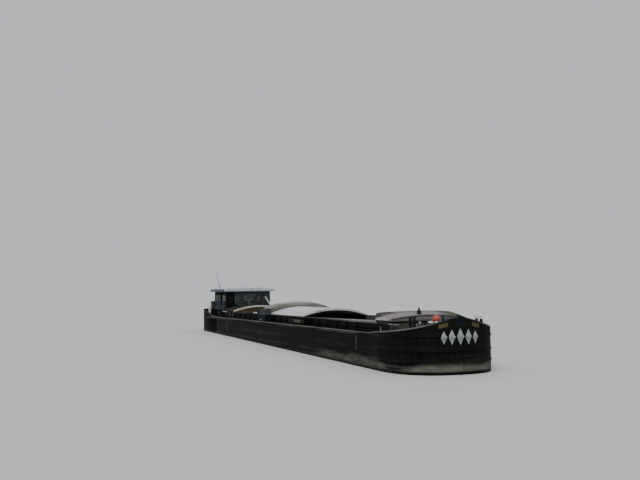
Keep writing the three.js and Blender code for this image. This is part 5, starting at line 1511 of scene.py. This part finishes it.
eye.bar((centre.x - 0.02, centre.y - 0.145, ball_high.z - 0.075),
        (centre.x - 0.03, centre.y - 0.178, ball_high.z - 0.055), 0.05, 16, 0.035)
eye.piece("ball_fender_eye", dark_rubber_and_shade, "orange_vinyl", 0.003, 40)

# Stern gear
# A grey store locker stands behind the wheelhouse, with a blue band and with a chest beside it. The steel
# bar of the deck edge runs on round the counter.
locker_pale = Finish("stern_locker_paint", (0.030, 0.033, 0.035), 0.6, gloss=0.05)
z = locker_pale.axis("Z")
locker_pale.patches((0.034, 0.036, 0.036), 0.65, 0.5, 0.25, 0.45, 0.7, detail=5)
locker_pale.coat(z.band(*BLUE_BAND), BAND_BLUE, 0.55)
locker_pale.coat(z.between(3.1, 3.06), (0.01, 0.011, 0.011), 0.5)
locker_pale.patches(DULL_RUST, 0.8, 0.5, 0.05, 0.6, 0.72, (1, 1, 6), 4, 3.0)
paint(locker_pale, "stern_locker", "deck_chest")
for node in ("stern_locker", "deck_chest"):
    low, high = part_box(node)
    trim = Shape()
    trim.box(low.x - 0.02, high.x + 0.02, low.y - 0.02, high.y + 0.02, high.z - 0.035, high.z + 0.006)
    for share in (0.25, 0.75):
        x = low.x + share * (high.x - low.x)
        trim.box(x - 0.04, x + 0.04, low.y - 0.028, low.y - 0.001, high.z - 0.12, high.z - 0.02)
    trim.box(low.x + 0.06, high.x - 0.06, low.y - 0.008, low.y - 0.001, low.z + 0.10, low.z + 0.12)
    trim.piece(f"{node}_lid", locker_pale, "deck_paint", 0.004)

rail_cap("stern_rail_cap", STERN_START, -STERN_LENGTH, STERN_POWER)

# Engine, shaft, propeller and rudder
# Under water at the stern: a green engine on its bed in the closed engine room, the steel shaft, a
# four-bladed bronze propeller and a plate rudder with stiffeners across it.
enamel = Finish("engine_enamel", (0.035, 0.09, 0.065), 0.45)
enamel.patches((0.015, 0.03, 0.022), 0.35, 1, 0.2, 0.45, 0.7, detail=5)
paint(enamel, "engine")
bronze = Finish("propeller_bronze", (0.36, 0.22, 0.08), 0.38, 0.9)
bronze.patches((0.12, 0.12, 0.07), 0.6, 1, 0.08, 0.42, 0.66, detail=5)
bronze.patches((0.06, 0.14, 0.1), 0.8, 0.7, 0.03, 0.6, 0.7, shift=3.0)
smooth_copy("propeller", "propeller_cast", bronze, 30, body="screw")
smooth_copy("propeller_shaft", "propeller_shaft_bar", galvanised, 30, body="screw")
smooth_copy("rudder", "rudder_plate", steel, 30, body="rudder_blade")
rudder_low, rudder_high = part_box("rudder")
ribs = Shape()
for z in (0.35, 0.62, 0.89):
    for side in (-1, 1):
        ribs.box(rudder_low.x + 0.12, rudder_high.x - 0.06, side * 0.034, side * 0.060, z, z + 0.03)
ribs.piece("rudder_stiffeners", steel, "hull_paint", 0.004, body="rudder_blade")
